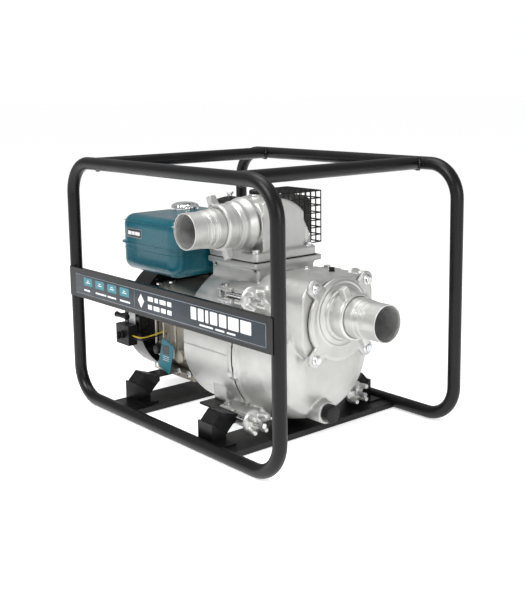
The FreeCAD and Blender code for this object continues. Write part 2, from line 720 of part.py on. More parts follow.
def make_priming_cap():
    """Low black screw cap on the elbow's filler boss."""
    outline = [(0, -14), (D.filler_bore_radius - 0.4, -14), (D.filler_bore_radius - 0.4, 0.4),
               (14, 0.4), (14, 7), (11, 9), (0, 9)]
    part("priming_cap", lathe(outline, FILLER))


# ---------------------------------------------------------------- clamps

def make_clamps():
    pins = []
    for index, side, height in clamp_spots():
        centre = (D.pin_pos, side * D.clamp_offset, height)
        low = height - D.lug_half_height - 4
        pins.append(union(cylinder(D.pin_radius, 2 * D.lug_half_height + 8, (centre[0], centre[1], low)),
                          cylinder(7, 4, (centre[0], centre[1], low)),
                          cylinder(7, 4, (centre[0], centre[1], height + D.lug_half_height))))
        eye = cylinder(D.eye_radius, D.eye_depth, (centre[0], centre[1], height - D.eye_depth / 2))
        stud = cylinder(D.stud_radius, D.stud_length, centre, "+X")
        hole = cylinder(D.pin_radius + D.running_gap, D.eye_depth,
                        (centre[0], centre[1], height - D.eye_depth / 2))
        part(f"swing_bolt_{index}", minus(union(eye, stud), hole))
        part(f"wing_knob_{index}", wing_knob(side, height))
    part("clamp_pins", group(*pins))


def wing_knob(side, height):
    """Cast wing nut: a round hub, a shallow dish and four prongs that point forward."""
    seat = SPLIT_FRONT + D.front_lug_depth + D.knob_gap
    inner = D.stud_radius + D.running_gap
    outline = [(inner, 0), (D.knob_hub_radius, 0), (D.knob_radius, 8), (D.knob_radius, D.knob_hub_length),
               (D.knob_hub_radius, D.knob_hub_length + 4), (inner, D.knob_hub_length + 4)]
    body = lathe(outline, (seat, side * D.clamp_offset, height), "+X")
    blade = draw(body, [(D.knob_hub_radius - 3, 6), (D.knob_radius, 10), (D.knob_radius, D.prong_length),
                        (D.knob_radius - 8, D.prong_length), (D.knob_hub_radius - 3, 26)])
    around(body, pad(body, blade, 8, both_ways=True), 4)
    return body


def make_drain_plug():
    """Large black hexagonal plug that screws into the casing's lowest boss."""
    seat = (D.drain_face, D.drain_offset, D.drain_height)
    hexagon = doc.addObject("Part::Prism", "hexagon")
    hexagon.Polygon = 6
    bind(hexagon, "Circumradius", D.plug_head + 2)
    bind(hexagon, "Height", D.plug_head_depth)
    place(hexagon, (seat[0] + 0.4, seat[1], seat[2]), "+X")
    shank = cylinder(D.drain_thread - 0.3, 14, (seat[0] + 1, seat[1], seat[2]), "-X")
    part("drain_plug", union(hexagon, shank))


# ---------------------------------------------------------------- wet end

def make_wet_end():
    back = D.casing_back + D.casing_wall
    outside = cylinder(D.volute_radius, 96, (back, 0, D.shaft_height), "+X")
    riser = box((back, -10, D.shaft_height + 40), (80, 60, 74))
    cavity = cylinder(D.volute_bore, 66, (back + 20, 0, D.shaft_height), "+X")
    eye = cylinder(38, 40, (back + 70, 0, D.shaft_height), "+X")
    way_up = box((back + 20, 0, D.shaft_height + 30), (50, 40, 100))
    hub_hole = cylinder(24, 30, (back - 2, 0, D.shaft_height), "+X")
    part("volute", minus(union(outside, riser), cavity, eye, way_up, hub_hole))
    seal_at = (D.casing_back + 2, 0, D.shaft_height)
    part("shaft_seal", ring(24, D.shaft_radius + D.running_gap, 22, seal_at, "+X"))

    body = new_body((back + 28, 0, D.shaft_height), "+X")
    pad(body, draw_circle(body, D.impeller_radius), 7)
    pad(body, draw_circle(body, 24), 7 + D.vane_depth)
    tip = D.impeller_radius - 4
    vane = draw(body, [(14, -5), (tip, -18), (tip, -8), (14, 5)], "XY_Plane")
    around(body, pad(body, vane, 7 + D.vane_depth), 3)
    pocket(body, draw_circle(body, D.shaft_radius), 60)
    part("impeller", body)

    # rubber flap with a weight that closes the suction port from inside when the pump stops
    centre = D.port_height - 4
    sheet = 5
    seat = D.chest_front + D.gasket_depth - D.free_gap
    flap = union(cylinder(46, sheet, (seat - sheet, 0, centre), "+X"),
                 box((seat - sheet, -14, centre + 34), (sheet, 28, 14)),
                 cylinder(20, 6, (seat - sheet - 6, 0, centre), "+X"))
    part("check_valve", flap)


# ---------------------------------------------------------------- engine

# mouth of the dipstick's boss
STICK = (-238, -D.engine_half_width - 12, 108)

ENGINE_MIDDLE = (D.engine_front + D.engine_rear) / 2
BARREL_TURN = FreeCAD.Rotation(X_AXIS, -(90 - float(D.barrel_lean)))
DECK = D.engine_half_width + 6
HEAD_FACE = DECK + D.barrel_reach


def on_barrel(thing):
    """Leans a piece built upright about the crank axis out towards +Y, with the cylinder."""
    return place(group(thing), (ENGINE_MIDDLE, 0, D.shaft_height), BARREL_TURN)


def make_engine():
    length = D.engine_front - D.engine_rear
    height = D.engine_top - D.engine_base
    shell = box((D.engine_rear, -D.engine_half_width, D.engine_base + 10),
                (length, 2 * D.engine_half_width, height - 10))
    shell = rounded(shell, 22, runs_along(X_AXIS))
    foot = box((D.engine_rear, -D.engine_half_width - 14, D.engine_base),
               (length, 2 * D.engine_half_width + 28, 12))
    boss = cylinder(16, 16, (STICK[0], STICK[1], STICK[2]), "+Y")
    half = D.fin_size / 2
    deck = on_barrel(box((-half, -half, 20), (D.fin_size, D.fin_size, DECK - 20)))
    beyond = on_barrel(box((-100, -100, DECK), (200, 200, 100)))
    hollow = box((D.engine_rear + D.engine_wall, -D.engine_half_width + D.engine_wall, D.engine_base + 20),
                 (length - 2 * D.engine_wall, 2 * (D.engine_half_width - D.engine_wall),
                  height - 28 - D.engine_wall))
    bearing = cylinder(D.shaft_radius + D.running_gap, length + 4,
                       (D.engine_rear - 2, 0, D.shaft_height), "+X")
    stick_hole = cylinder(6.3, 40, (STICK[0], STICK[1] - 1, STICK[2]), "+Y")
    part("crankcase", minus(union(shell, foot, boss, deck), beyond, hollow, bearing, stick_hole))

    cover = box((D.engine_front, -D.engine_half_width + 4, D.engine_base + 14),
                (D.side_cover_depth, 2 * D.engine_half_width - 8, height - 36))
    cover = rounded(cover, 26, runs_along(X_AXIS))
    nose = cylinder(58, D.casing_back - D.engine_front, (D.engine_front, 0, D.shaft_height), "+X")
    hole = cylinder(D.shaft_radius + D.running_gap, 60, (D.engine_front - 2, 0, D.shaft_height), "+X")
    part("crankcase_cover", minus(union(cover, nose), hole))

    slabs = [(DECK, 6), (HEAD_FACE - 14, 14)]
    slabs += [(DECK + 12 + i * D.fin_pitch, D.fin_depth) for i in range(SIZES["fin_count"] - 1)]
    fins = [box((-half, -half, start), (D.fin_size, D.fin_size, depth)) for start, depth in slabs]
    part("cylinder_barrel", on_barrel(union(cylinder(40, D.barrel_reach, (0, 0, DECK)), *fins)))
    lid = box((-46, -42, HEAD_FACE), (72, 84, 24))
    part("valve_cover", on_barrel(rounded(lid, 10, lambda edge: True)))
    # the plug and its cap stand beside the valve cover
    plug = union(cylinder(7, 20, (38, -10, HEAD_FACE)), cylinder(10, 22, (38, -10, HEAD_FACE + 20)))
    part("spark_plug", on_barrel(plug))

    web_radius = 46
    crank = [cylinder(D.shaft_radius, 340, (D.blower_rear + 8, 0, D.shaft_height), "+X")]
    crank += [cylinder(web_radius, 16, (ENGINE_MIDDLE + shift, 0, D.shaft_height), "+X")
              for shift in (-26, 10)]
    part("crankshaft", union(*crank))


def make_blower():
    depth = D.blower_front - D.blower_rear
    axis = (D.blower_rear, 0, D.shaft_height)
    wall = D.shell_wall
    outside = union(cylinder(D.blower_radius, depth, axis, "+X"),
                    box((D.blower_rear, 20, D.shaft_height + 20), (depth, 120, 100)))
    mouth_at = D.blower_rear - 0.01
    inside = union(cylinder(D.blower_radius - wall, depth - wall, (mouth_at, 0, D.shaft_height), "+X"),
                   box((mouth_at, 20, D.shaft_height + 20 + wall),
                       (depth - wall, 120 - wall, 100 - 2 * wall)))
    mouth = cylinder(70, 20, (D.blower_front - 10, 0, D.shaft_height), "+X")
    guide = cylinder(5, 30, (-300, -D.blower_radius - 8, 180), "+Y")
    part("blower_housing", minus(outside, inside, mouth, guide))

    body = new_body((D.blower_rear + 12, 0, D.shaft_height), "+X")
    pad(body, draw_circle(body, D.flywheel_radius), 10)
    pad(body, draw_circle(body, 30), 24)
    tip = D.flywheel_radius - 4
    fin = draw(body, [(34, -1.5), (tip, -1.5), (tip, 1.5), (34, 1.5)], "XY_Plane")
    around(body, pad(body, fin, 26), 16)
    pocket(body, draw_circle(body, D.shaft_radius), 60)
    part("flywheel", body)

    dish = [(D.recoil_radius, 0), (D.recoil_radius, 8), (78, 16), (70, D.recoil_depth), (0, D.recoil_depth),
            (0, D.recoil_depth - wall), (69, D.recoil_depth - wall), (76, 14), (D.recoil_radius - wall, 6),
            (D.recoil_radius - wall, 0)]
    cup = lathe(dish, (D.blower_rear, 0, D.shaft_height), "-X")
    rim = ring(D.blower_radius, D.recoil_radius - wall, wall, (D.blower_rear, 0, D.shaft_height), "-X")
    part("recoil_cover", union(cup, rim))

    grip = union(cylinder(7, 46, (-323, -146, 180), "+X"), cylinder(5.5, 16, (-300, -146, 180), "+Y"))
    part("recoil_handle", grip)
    part("starter_rope", cylinder(2, 22, (-300, -129.6, 180), "+Y"))


# ---------------------------------------------------------------- tank

def make_tank():
    size = (D.tank_front - D.tank_rear, D.tank_far - D.tank_near, D.tank_top - D.tank_base)
    low = (D.tank_rear, D.tank_near, D.tank_base)
    outside = rounded(box(low, size), D.tank_corner, lambda edge: True)
    wall = D.tank_wall
    inside = rounded(box([c + wall for c in low], [c - 2 * wall for c in size]), D.tank_corner - wall,
                     lambda edge: True)
    seam = box((D.tank_rear - D.seam_reach, D.tank_near - 1.5, D.tank_seam_height),
               (size[0] + D.seam_reach + 1.5, size[1] + 3, 3))
    seam = rounded(seam, D.tank_corner, runs_along(Z_AXIS))
    neck = cylinder(D.filler_radius + 2, 12, (D.filler_pos, D.filler_offset, D.tank_top - 4))
    mouth = cylinder(D.filler_radius, 30, (D.filler_pos, D.filler_offset, D.tank_top - 16))
    part("fuel_tank", minus(union(outside, seam, neck), inside, mouth))

    outline = [(0, -10), (D.filler_radius - 1, -10), (D.filler_radius - 1, 9), (D.filler_radius + 3, 9),
               (D.filler_radius + 3, -2), (D.cap_radius, -2), (D.cap_radius, 10), (D.cap_radius - 6, 16),
               (0, D.cap_height - 2)]
    part("fuel_cap", lathe(outline, (D.filler_pos, D.filler_offset, D.tank_top + 3)))


# ---------------------------------------------------------------- muffler and air cleaner

def make_muffler():
    inset = 12
    low = (D.guard_rear + inset, D.guard_near + inset, D.guard_base + inset)
    size = (D.guard_front - D.guard_rear - 2 * inset, D.guard_far - D.guard_near - 2 * inset,
            D.guard_top - D.guard_base - 2 * inset)
    can = rounded(box(low, size), 14, lambda edge: True)
    # the exhaust pipe leaves the head's pump side and turns up into the can
    elbow_at = (-88, 145, 236)
    run = ENGINE_MIDDLE + D.fin_size / 2
    pipe = [cylinder(12, elbow_at[0] - run, (run, elbow_at[1], elbow_at[2]), "+X"),
            cylinder(12, D.guard_base + 30 - elbow_at[2], elbow_at)]
    part("muffler", union(can, *pipe))
    part("muffler_guard", wire_guard())


def wire_guard():
    """Box of crossed wires, open underneath; each direction has a wire a little thinner than the last."""
    lows = (D.guard_rear, D.guard_near, D.guard_base)
    highs = (D.guard_front, D.guard_far, D.guard_top)
    lengths = [high - low for low, high in zip(lows, highs)]
    counts = [int(float(length) // SIZES["wire_pitch"]) for length in lengths]
    radii = (D.wire_radius, D.wire_radius * 0.93, D.wire_radius * 0.86)
    turns = ("+X", "+Y", "+Z")
    wires = []
    for along, (across, facing) in ((0, (1, 2)), (0, (2, 1)), (1, (0, 2)),
                                    (1, (2, 0)), (2, (0, 1)), (2, (1, 0))):
        # an edge between two faces gets one wire, not two
        shared = facing == 2 or (along, facing) == (2, 1)
        steps = range(1, counts[across]) if shared else range(counts[across] + 1)
        sides = (highs[facing],) if facing == 2 else (lows[facing], highs[facing])
        for side in sides:
            for step in steps:
                at = [None, None, None]
                at[along] = lows[along]
                at[across] = lows[across] + lengths[across] / counts[across] * step
                at[facing] = side
                wires.append(cylinder(radii[along], lengths[along], at, turns[along]))
    return union(*wires)


CARB_TOP = 328


def make_air_cleaner():
    at = (D.cleaner_pos, D.cleaner_offset)
    base = union(cylinder(D.cleaner_radius - 4, 14, (*at, D.cleaner_base)),
                 box((D.cleaner_pos + 14, D.cleaner_offset - 42, CARB_TOP),
                     (38, 40, D.cleaner_base + 2 - CARB_TOP)))
    top = D.cleaner_top - D.cleaner_base - 14
    cover = lathe([(0, 0), (D.cleaner_radius, 0), (D.cleaner_radius, top - 12), (D.cleaner_radius - 10, top),
                   (0, top)], (*at, D.cleaner_base + 14))
    part("air_cleaner", group(base, cover))
    nut = union(cylinder(7, 9, (*at, D.cleaner_top + 0.4)),
                box((D.cleaner_pos - 14, D.cleaner_offset - 2, D.cleaner_top + 3), (28, 4, 10)))
    part("cleaner_nut", nut)
    body = union(box((-252, 88, CARB_TOP - 28), (44, 40, 28)), cylinder(18, 24, (-232, 106, CARB_TOP - 48)))
    part("carburetor", body)


# ---------------------------------------------------------------- controls

def make_controls():
    part("throttle_lever", union(cylinder(9, 4, (-236, -56, D.engine_top + 0.4)),
                                 box((-240, -92, D.engine_top + 0.6), (8, 40, 3.6))))
    part("choke_lever", union(cylinder(6, 4, (-252.4, 114, 312), "-X"), box((-256.4, 111, 284), (4, 6, 28))))
    part("fuel_lever", union(cylinder(5, 4, (-252.4, 95, 308), "-X"), box((-256.4, 68, 305), (4, 27, 6))))
    part("control_box", minus(box((-316, -152, 118), (50, 22, 44)), cylinder(9, 30, (-291, -160, 140), "+Y")))
    part("engine_switch", union(cylinder(8.6, 14, (-291, -146, 140), "-Y"),
                                box((-299, -166, 137), (16, 8, 6))))
    part("dipstick", union(cylinder(12, 12, (STICK[0], STICK[1] - 0.4, STICK[2]), "-Y"),
                           cylinder(6, 24, (STICK[0], STICK[1] - 1, STICK[2]), "+Y")))
    tag = box((-26, -0.6, -78), (44, 1.2, 68))
    loop = cylinder(1, 14, (-4, 0, -12))
    hang = union(tag, loop)
    place(hang, (-176, -104, 142), FreeCAD.Rotation(V(0, 1, 0), 18))
    part("hang_tag", hang)


def make_bolts():
    bolts = [hex_bolt(spot, 26) for spot in cover_bolt_spots()]
    bolts += [hex_bolt(spot, 32) for spot in elbow_bolt_spots()]
    part("hex_bolts", group(*bolts))


def make_arms():
    """Steel arms that carry the engine's foot and the pump's feet on the rubber blocks."""
    arms = []
    lean = math.sqrt(0.5)
    half = D.rubber_width / 2 * lean
    rise = D.rubber_height * lean
    seat_mid = (-1.0, (SEAT_LOW + 2 + SEAT_HIGH) / 2)
    low = (seat_mid[0] - half - rise, seat_mid[1] - half + rise)
    high = (seat_mid[0] + half - rise, seat_mid[1] + half + rise)
    sheet_rise = D.arm_sheet * lean
    level = D.engine_base - D.arm_sheet
    for centre, side, offset in mount_spots():
        at_front = float(centre) > 0
        inner = (D.engine_half_width if not at_front else D.front_mount_offset - 46) - offset
        outline = [low, high, (high[0] - sheet_rise, high[1] + sheet_rise), (low[0] - 6, D.engine_base),
                   (inner, D.engine_base), (inner, level), (low[0] - 10, level), (low[0] - 10, level - 8)]
        arm = mount_piece(outline, (centre, side, offset), D.mount_length / 2 - 2)
        if at_front:
            # a flat plate runs back past the clamp's lug to the pump's foot
            reach = D.front_mount_offset - 46
            behind = (CASING_FOOT_START, side * (reach + 6) - 6, level)
            strap = box(behind, (centre - CASING_FOOT_START, 12, D.arm_sheet))
            foot_edge = 103
            inboard = reach + 12 - foot_edge
            middle = side * (reach + 12 + foot_edge) / 2
            tongue = box((CASING_FOOT_START, middle - inboard / 2, level),
                         (CASING_FOOT_LENGTH, inboard, D.arm_sheet))
            arm = union(arm, strap, tongue)
        arms.append(arm)
    part("mount_arms", group(*arms))


def make_cords():
    lead = [(-145, 193.35, 267.2), (-145, 202.4, 271.45), (-154, 207, 281), (-178, 206, 286),
            (-212, 198, 281), (-238, 182, 269), (-243, 156, 259), (-250, 131, 256), (-262, 131, 256)]
    part("ignition_lead", cord(lead, D.lead_radius))
    hose = [(-242, 30, 292), (-242, 30, 282), (-242, 36, 270), (-242, 50, 264), (-242, 64, 272),
            (-242, 68, 300), (-242, 78, 314), (-242, 88, 314)]
    part("fuel_hose", cord(hose, D.hose_radius))
    wire = [(-266, -141, 140), (-256, -141, 139), (-246, -130, 136), (-240, -110, 139), (-228, -92, 146),
            (-228, -78, 146)]
    part("sensor_wire", cord(wire, D.wire_core_radius))


make_frame()
make_base()
make_panel()
make_arms()
make_rear_casing()
make_front_casing()
make_suction_cover()
make_gaskets()
make_elbow()
make_couplings()
make_priming_cap()
make_clamps()
make_drain_plug()
make_wet_end()
make_engine()
make_blower()
make_tank()
make_muffler()
make_air_cleaner()
make_controls()
make_bolts()
make_cords()
doc.recompute()

failed = [o.Label for o in doc.Objects if "Invalid" in o.State or "Error" in o.State]
assert not failed, f"objects that failed: {failed}"
for sub_part in PARTS:
    shape = sub_part.Shape
    assert not shape.isNull() and shape.isValid(), f"bad shape in {sub_part.Label}"
    print(f"{sub_part.Label}: {len(shape.Solids)} solid(s), {shape.Volume / 1000:.1f} cm3")
os.makedirs("parts", exist_ok=True)
for sub_part in PARTS:
    sub_part.Shape.exportStep(f"parts/{sub_part.Label}.step")
print(len(PARTS), "sub-parts")
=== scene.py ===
"""Looks of an engine-driven trash pump in a tubular carrying frame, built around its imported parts.

+X is the suction end, -Y the discharge side and +Z up; every length is in metres.
"""
import json
import math

import bmesh
import bpy
import numpy as np
from mathutils import Matrix, Vector

import sys
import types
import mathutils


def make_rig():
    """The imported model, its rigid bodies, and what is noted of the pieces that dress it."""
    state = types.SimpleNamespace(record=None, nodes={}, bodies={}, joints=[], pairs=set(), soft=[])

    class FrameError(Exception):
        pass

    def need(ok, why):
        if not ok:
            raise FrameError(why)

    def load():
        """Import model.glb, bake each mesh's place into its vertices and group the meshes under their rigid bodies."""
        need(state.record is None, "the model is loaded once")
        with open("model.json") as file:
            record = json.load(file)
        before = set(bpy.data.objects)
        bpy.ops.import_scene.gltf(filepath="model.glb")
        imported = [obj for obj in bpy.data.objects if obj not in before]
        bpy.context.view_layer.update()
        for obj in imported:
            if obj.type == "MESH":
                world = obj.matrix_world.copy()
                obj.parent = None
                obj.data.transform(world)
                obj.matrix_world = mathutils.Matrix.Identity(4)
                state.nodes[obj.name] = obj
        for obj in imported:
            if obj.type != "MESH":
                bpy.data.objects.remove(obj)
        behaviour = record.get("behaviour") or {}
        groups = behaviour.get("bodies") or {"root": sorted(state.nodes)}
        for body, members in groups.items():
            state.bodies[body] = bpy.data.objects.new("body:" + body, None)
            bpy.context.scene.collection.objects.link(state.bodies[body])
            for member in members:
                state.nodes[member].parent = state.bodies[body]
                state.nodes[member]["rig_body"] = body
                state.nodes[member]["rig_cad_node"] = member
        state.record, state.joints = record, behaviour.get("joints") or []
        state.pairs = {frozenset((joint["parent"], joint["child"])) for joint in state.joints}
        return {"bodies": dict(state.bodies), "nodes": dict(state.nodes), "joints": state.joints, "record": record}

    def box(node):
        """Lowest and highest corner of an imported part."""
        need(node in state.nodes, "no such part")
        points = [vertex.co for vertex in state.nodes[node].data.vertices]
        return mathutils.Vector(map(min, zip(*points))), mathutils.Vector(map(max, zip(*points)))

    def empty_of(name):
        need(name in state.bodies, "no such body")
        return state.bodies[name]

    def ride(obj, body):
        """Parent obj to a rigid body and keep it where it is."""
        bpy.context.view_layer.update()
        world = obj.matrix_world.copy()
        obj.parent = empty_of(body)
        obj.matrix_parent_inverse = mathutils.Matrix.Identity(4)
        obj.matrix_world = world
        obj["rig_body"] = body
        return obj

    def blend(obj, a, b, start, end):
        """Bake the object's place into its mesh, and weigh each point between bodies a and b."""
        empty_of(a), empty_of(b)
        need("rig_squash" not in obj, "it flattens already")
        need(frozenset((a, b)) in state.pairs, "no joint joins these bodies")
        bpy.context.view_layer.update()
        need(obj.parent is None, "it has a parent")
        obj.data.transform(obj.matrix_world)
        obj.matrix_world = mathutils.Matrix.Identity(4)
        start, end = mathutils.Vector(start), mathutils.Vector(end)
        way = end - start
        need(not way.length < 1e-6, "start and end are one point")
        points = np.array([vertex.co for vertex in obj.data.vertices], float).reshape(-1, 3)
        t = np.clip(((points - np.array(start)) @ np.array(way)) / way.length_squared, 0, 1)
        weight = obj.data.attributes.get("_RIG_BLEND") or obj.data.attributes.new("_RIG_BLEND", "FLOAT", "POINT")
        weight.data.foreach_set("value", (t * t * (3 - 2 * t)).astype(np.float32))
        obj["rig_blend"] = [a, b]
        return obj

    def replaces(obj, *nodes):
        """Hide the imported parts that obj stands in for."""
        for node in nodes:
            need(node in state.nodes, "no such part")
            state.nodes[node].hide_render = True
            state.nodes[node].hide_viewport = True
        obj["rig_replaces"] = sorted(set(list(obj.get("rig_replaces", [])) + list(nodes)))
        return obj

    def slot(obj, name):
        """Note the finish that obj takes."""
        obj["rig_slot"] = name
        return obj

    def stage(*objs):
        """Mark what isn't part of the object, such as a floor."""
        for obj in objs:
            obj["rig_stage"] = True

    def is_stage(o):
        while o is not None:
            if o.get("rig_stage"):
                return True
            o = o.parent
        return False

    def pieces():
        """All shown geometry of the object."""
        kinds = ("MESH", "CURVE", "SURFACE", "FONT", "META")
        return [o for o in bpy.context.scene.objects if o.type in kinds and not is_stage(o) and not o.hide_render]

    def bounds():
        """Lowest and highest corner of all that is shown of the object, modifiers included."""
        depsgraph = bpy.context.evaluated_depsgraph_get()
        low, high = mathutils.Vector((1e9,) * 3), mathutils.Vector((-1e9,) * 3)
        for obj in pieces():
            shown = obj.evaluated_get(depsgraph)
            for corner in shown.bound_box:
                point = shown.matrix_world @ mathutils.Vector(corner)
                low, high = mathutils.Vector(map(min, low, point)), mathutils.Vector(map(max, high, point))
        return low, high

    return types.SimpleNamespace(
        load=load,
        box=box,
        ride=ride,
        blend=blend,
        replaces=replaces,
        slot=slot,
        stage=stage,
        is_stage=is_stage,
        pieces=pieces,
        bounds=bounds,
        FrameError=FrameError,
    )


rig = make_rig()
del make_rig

bl_info = {
    "name": "Trash Pump Looks",
    "version": (1, 0, 0),
    "blender": (4, 5, 0),
    "location": "3D View > Sidebar > Pump",
    "description": "Finishes and fine detail for an engine-driven trash pump",
    "category": "Object",
}

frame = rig.load()
cad_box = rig.bounds()
NODES = frame["nodes"]

# each turn carries a shape's own X, Y and Z axes to the rows given
TURNS = {
    "+Z": np.array([[1, 0, 0], [0, 1, 0], [0, 0, 1.0]]),
    "+X": np.array([[0, 1, 0], [0, 0, 1], [1, 0, 0.0]]),
    "-X": np.array([[0, 1, 0], [0, 0, -1], [-1, 0, 0.0]]),
    "+Y": np.array([[0, 0, 1], [1, 0, 0], [0, 1, 0.0]]),
    "-Y": np.array([[1, 0, 0], [0, 0, 1], [0, -1, 0.0]]),
}
SHAFT_HEIGHT = 0.166
PORT = (0.0, 0.253)
OUTLET = (0.029, 0.407)
CLAMPS = [(index, side * 0.136, SHAFT_HEIGHT + rise)
          for index, (side, rise) in enumerate([(-1, 0.119), (1, 0.119), (-1, -0.119), (1, -0.119)], start=1)]


# ---------------------------------------------------------------- sizes and colours that a user may change

class PumpSizes(bpy.types.PropertyGroup):
    """Sizes of the fine detail."""
    casting_voxel: bpy.props.FloatProperty(
        name="Casting grid", description="Grid that rounds the edges of the large castings",
        default=0.0024, min=0.0015, max=0.006, unit="LENGTH")
    small_voxel: bpy.props.FloatProperty(
        name="Small casting grid", description="Grid that rounds the edges of the small castings",
        default=0.0012, min=0.0008, max=0.003, unit="LENGTH")
    edge_round: bpy.props.FloatProperty(
        name="Edge rounding", description="Radius that the finishes give to sharp edges",
        default=0.0015, min=0.0002, max=0.004, unit="LENGTH")
    ring_pitch: bpy.props.FloatProperty(
        name="Ring pitch", description="Distance between the fine turned rings on the hose tails",
        default=0.0032, min=0.001, max=0.008, unit="LENGTH")
    weld_bead: bpy.props.FloatProperty(
        name="Weld bead", description="Radius of the frame's weld beads",
        default=0.0026, min=0.001, max=0.005, unit="LENGTH")


class PumpColours(bpy.types.PropertyGroup):
    """Colours of the painted and printed pieces."""
    tank: bpy.props.FloatVectorProperty(
        name="Tank", description="Enamel of the fuel tank", subtype="COLOR",
        default=(0.003, 0.088, 0.120), min=0, max=1)
    castings: bpy.props.FloatVectorProperty(
        name="Pump castings", description="Blasted aluminium of the pump", subtype="COLOR",
        default=(0.53, 0.53, 0.515), min=0, max=1)
    engine: bpy.props.FloatVectorProperty(
        name="Engine castings", description="Warm silver of the engine", subtype="COLOR",
        default=(0.47, 0.44, 0.38), min=0, max=1)
    label: bpy.props.FloatVectorProperty(
        name="Band label", description="Ground of the side band's label", subtype="COLOR",
        default=(0.022, 0.030, 0.040), min=0, max=1)
    tag: bpy.props.FloatVectorProperty(
        name="Hang tag", description="Printed card", subtype="COLOR",
        default=(0.012, 0.19, 0.25), min=0, max=1)


def sizes():
    return bpy.context.scene.pump_sizes


def colours():
    return bpy.context.scene.pump_colours


# ---------------------------------------------------------------- shapes as arrays

def quads(rows, columns, wrap_rows=False, wrap_columns=False):
    """Quads between the neighbouring points of a rows by columns grid."""
    down = np.arange(rows if wrap_rows else rows - 1)
    along = np.arange(columns if wrap_columns else columns - 1)
    a, b = (g.ravel() for g in np.meshgrid(down, along, indexing="ij"))
    a2, b2 = (a + 1) % rows, (b + 1) % columns
    return np.stack([a * columns + b, a * columns + b2, a2 * columns + b2, a2 * columns + b], 1)


def closed_surface(grid):
    """A grid of points whose columns close round, with each end row drawn in to its middle."""
    rows, columns = grid.shape[:2]
    points = grid.reshape(-1, 3)
    faces = quads(rows, columns, wrap_columns=True).tolist()
    middles = np.array([grid[0].mean(0), grid[-1].mean(0)])
    here, after = np.arange(columns), (np.arange(columns) + 1) % columns
    first, last = len(points), len(points) + 1
    start = (rows - 1) * columns
    faces += np.stack([np.full(columns, first), after, here], 1).tolist()
    faces += np.stack([np.full(columns, last), start + here, start + after], 1).tolist()
    return np.vstack([points, middles]), faces


def ring_surface(grid):
    """A grid of points that closes round both ways, as a torus does."""
    rows, columns = grid.shape[:2]
    return grid.reshape(-1, 3), quads(rows, columns, True, True).tolist()


def joined(*shapes):
    points, faces, start = [], [], 0
    for own_points, own_faces in shapes:
        points.append(own_points)
        faces += [[v + start for v in face] for face in own_faces]
        start += len(own_points)
    return np.vstack(points), faces


def moved(shape, at=(0, 0, 0), turn="+Z", spin=0.0):
    """The shape turned about its own Z by spin degrees, then to a direction, then moved."""
    points, faces = shape
    angle = math.radians(spin)
    about = np.array([[math.cos(angle), math.sin(angle), 0], [-math.sin(angle), math.cos(angle), 0],
                      [0, 0, 1.0]])
    matrix = TURNS[turn] if isinstance(turn, str) else turn
    return points @ about @ matrix + np.array(at), faces


def outward(points, faces):
    """Faces turned so that the volume they enclose is positive."""
    corners = np.array([[f[0], f[1], f[2]] for f in faces]
                       + [[f[0], f[2], f[3]] for f in faces if len(f) > 3])
    a, b, c = (points[corners[:, i]] for i in range(3))
    volume = np.einsum("ij,ij->i", a, np.cross(b, c)).sum()
    return faces if volume > 0 else [face[::-1] for face in faces]


def turned(profile, steps=96, swell=None):
    """A closed turned shape: (radius, height) points carried round Z; swell(angle) scales the radius."""
    profile = np.asarray(profile, float)
    angle = np.linspace(0, 2 * np.pi, steps, endpoint=False)
    scale = np.ones_like(angle) if swell is None else swell(angle)
    radius = profile[:, 0][:, None] * scale[None, :]
    height = np.repeat(profile[:, 1][:, None], steps, 1)
    grid = np.stack([radius * np.cos(angle), radius * np.sin(angle), height], -1)
    hollow = profile[0, 0] > 1e-6 and profile[-1, 0] > 1e-6
    return ring_surface(grid) if hollow else closed_surface(grid)


def softened(profile, radius, steps=4):
    """A (radius, height) outline whose inner corners are rounded by quadratic curves."""
    profile = np.asarray(profile, float)
    before, corner, after = profile[:-2], profile[1:-1], profile[2:]
    reach_in = np.linalg.norm(before - corner, axis=1)[:, None]
    reach_out = np.linalg.norm(after - corner, axis=1)[:, None]
    a = corner + (before - corner) / reach_in * np.minimum(radius, reach_in * 0.45)
    b = corner + (after - corner) / reach_out * np.minimum(radius, reach_out * 0.45)
    s = np.linspace(0, 1, steps)[None, :, None]
    curve = (1 - s) ** 2 * a[:, None] + 2 * s * (1 - s) * corner[:, None] + s ** 2 * b[:, None]
    return np.vstack([profile[:1], curve.reshape(-1, 2), profile[-1:]])


def tube(path, radius, sides=12, closed=False):
    """A round section carried along points; radius is one number or one for each point."""
    path = np.asarray(path, float)
    if closed:
        tangent = np.roll(path, -1, 0) - np.roll(path, 1, 0)
    else:
        tangent = np.gradient(path, axis=0)
    tangent /= np.linalg.norm(tangent, axis=1)[:, None]
    helper = np.eye(3)[np.argmin(np.abs(tangent).max(0))]
    across = np.cross(tangent, helper)
    across /= np.linalg.norm(across, axis=1)[:, None]
    up = np.cross(tangent, across)
    angle = np.linspace(0, 2 * np.pi, sides, endpoint=False)
    size = np.broadcast_to(np.asarray(radius, float), (len(path),))[:, None, None]
    round_section = (across[:, None] * np.cos(angle)[None, :, None]
                     + up[:, None] * np.sin(angle)[None, :, None])
    grid = path[:, None] + size * round_section
    return ring_surface(grid) if closed else closed_surface(grid)


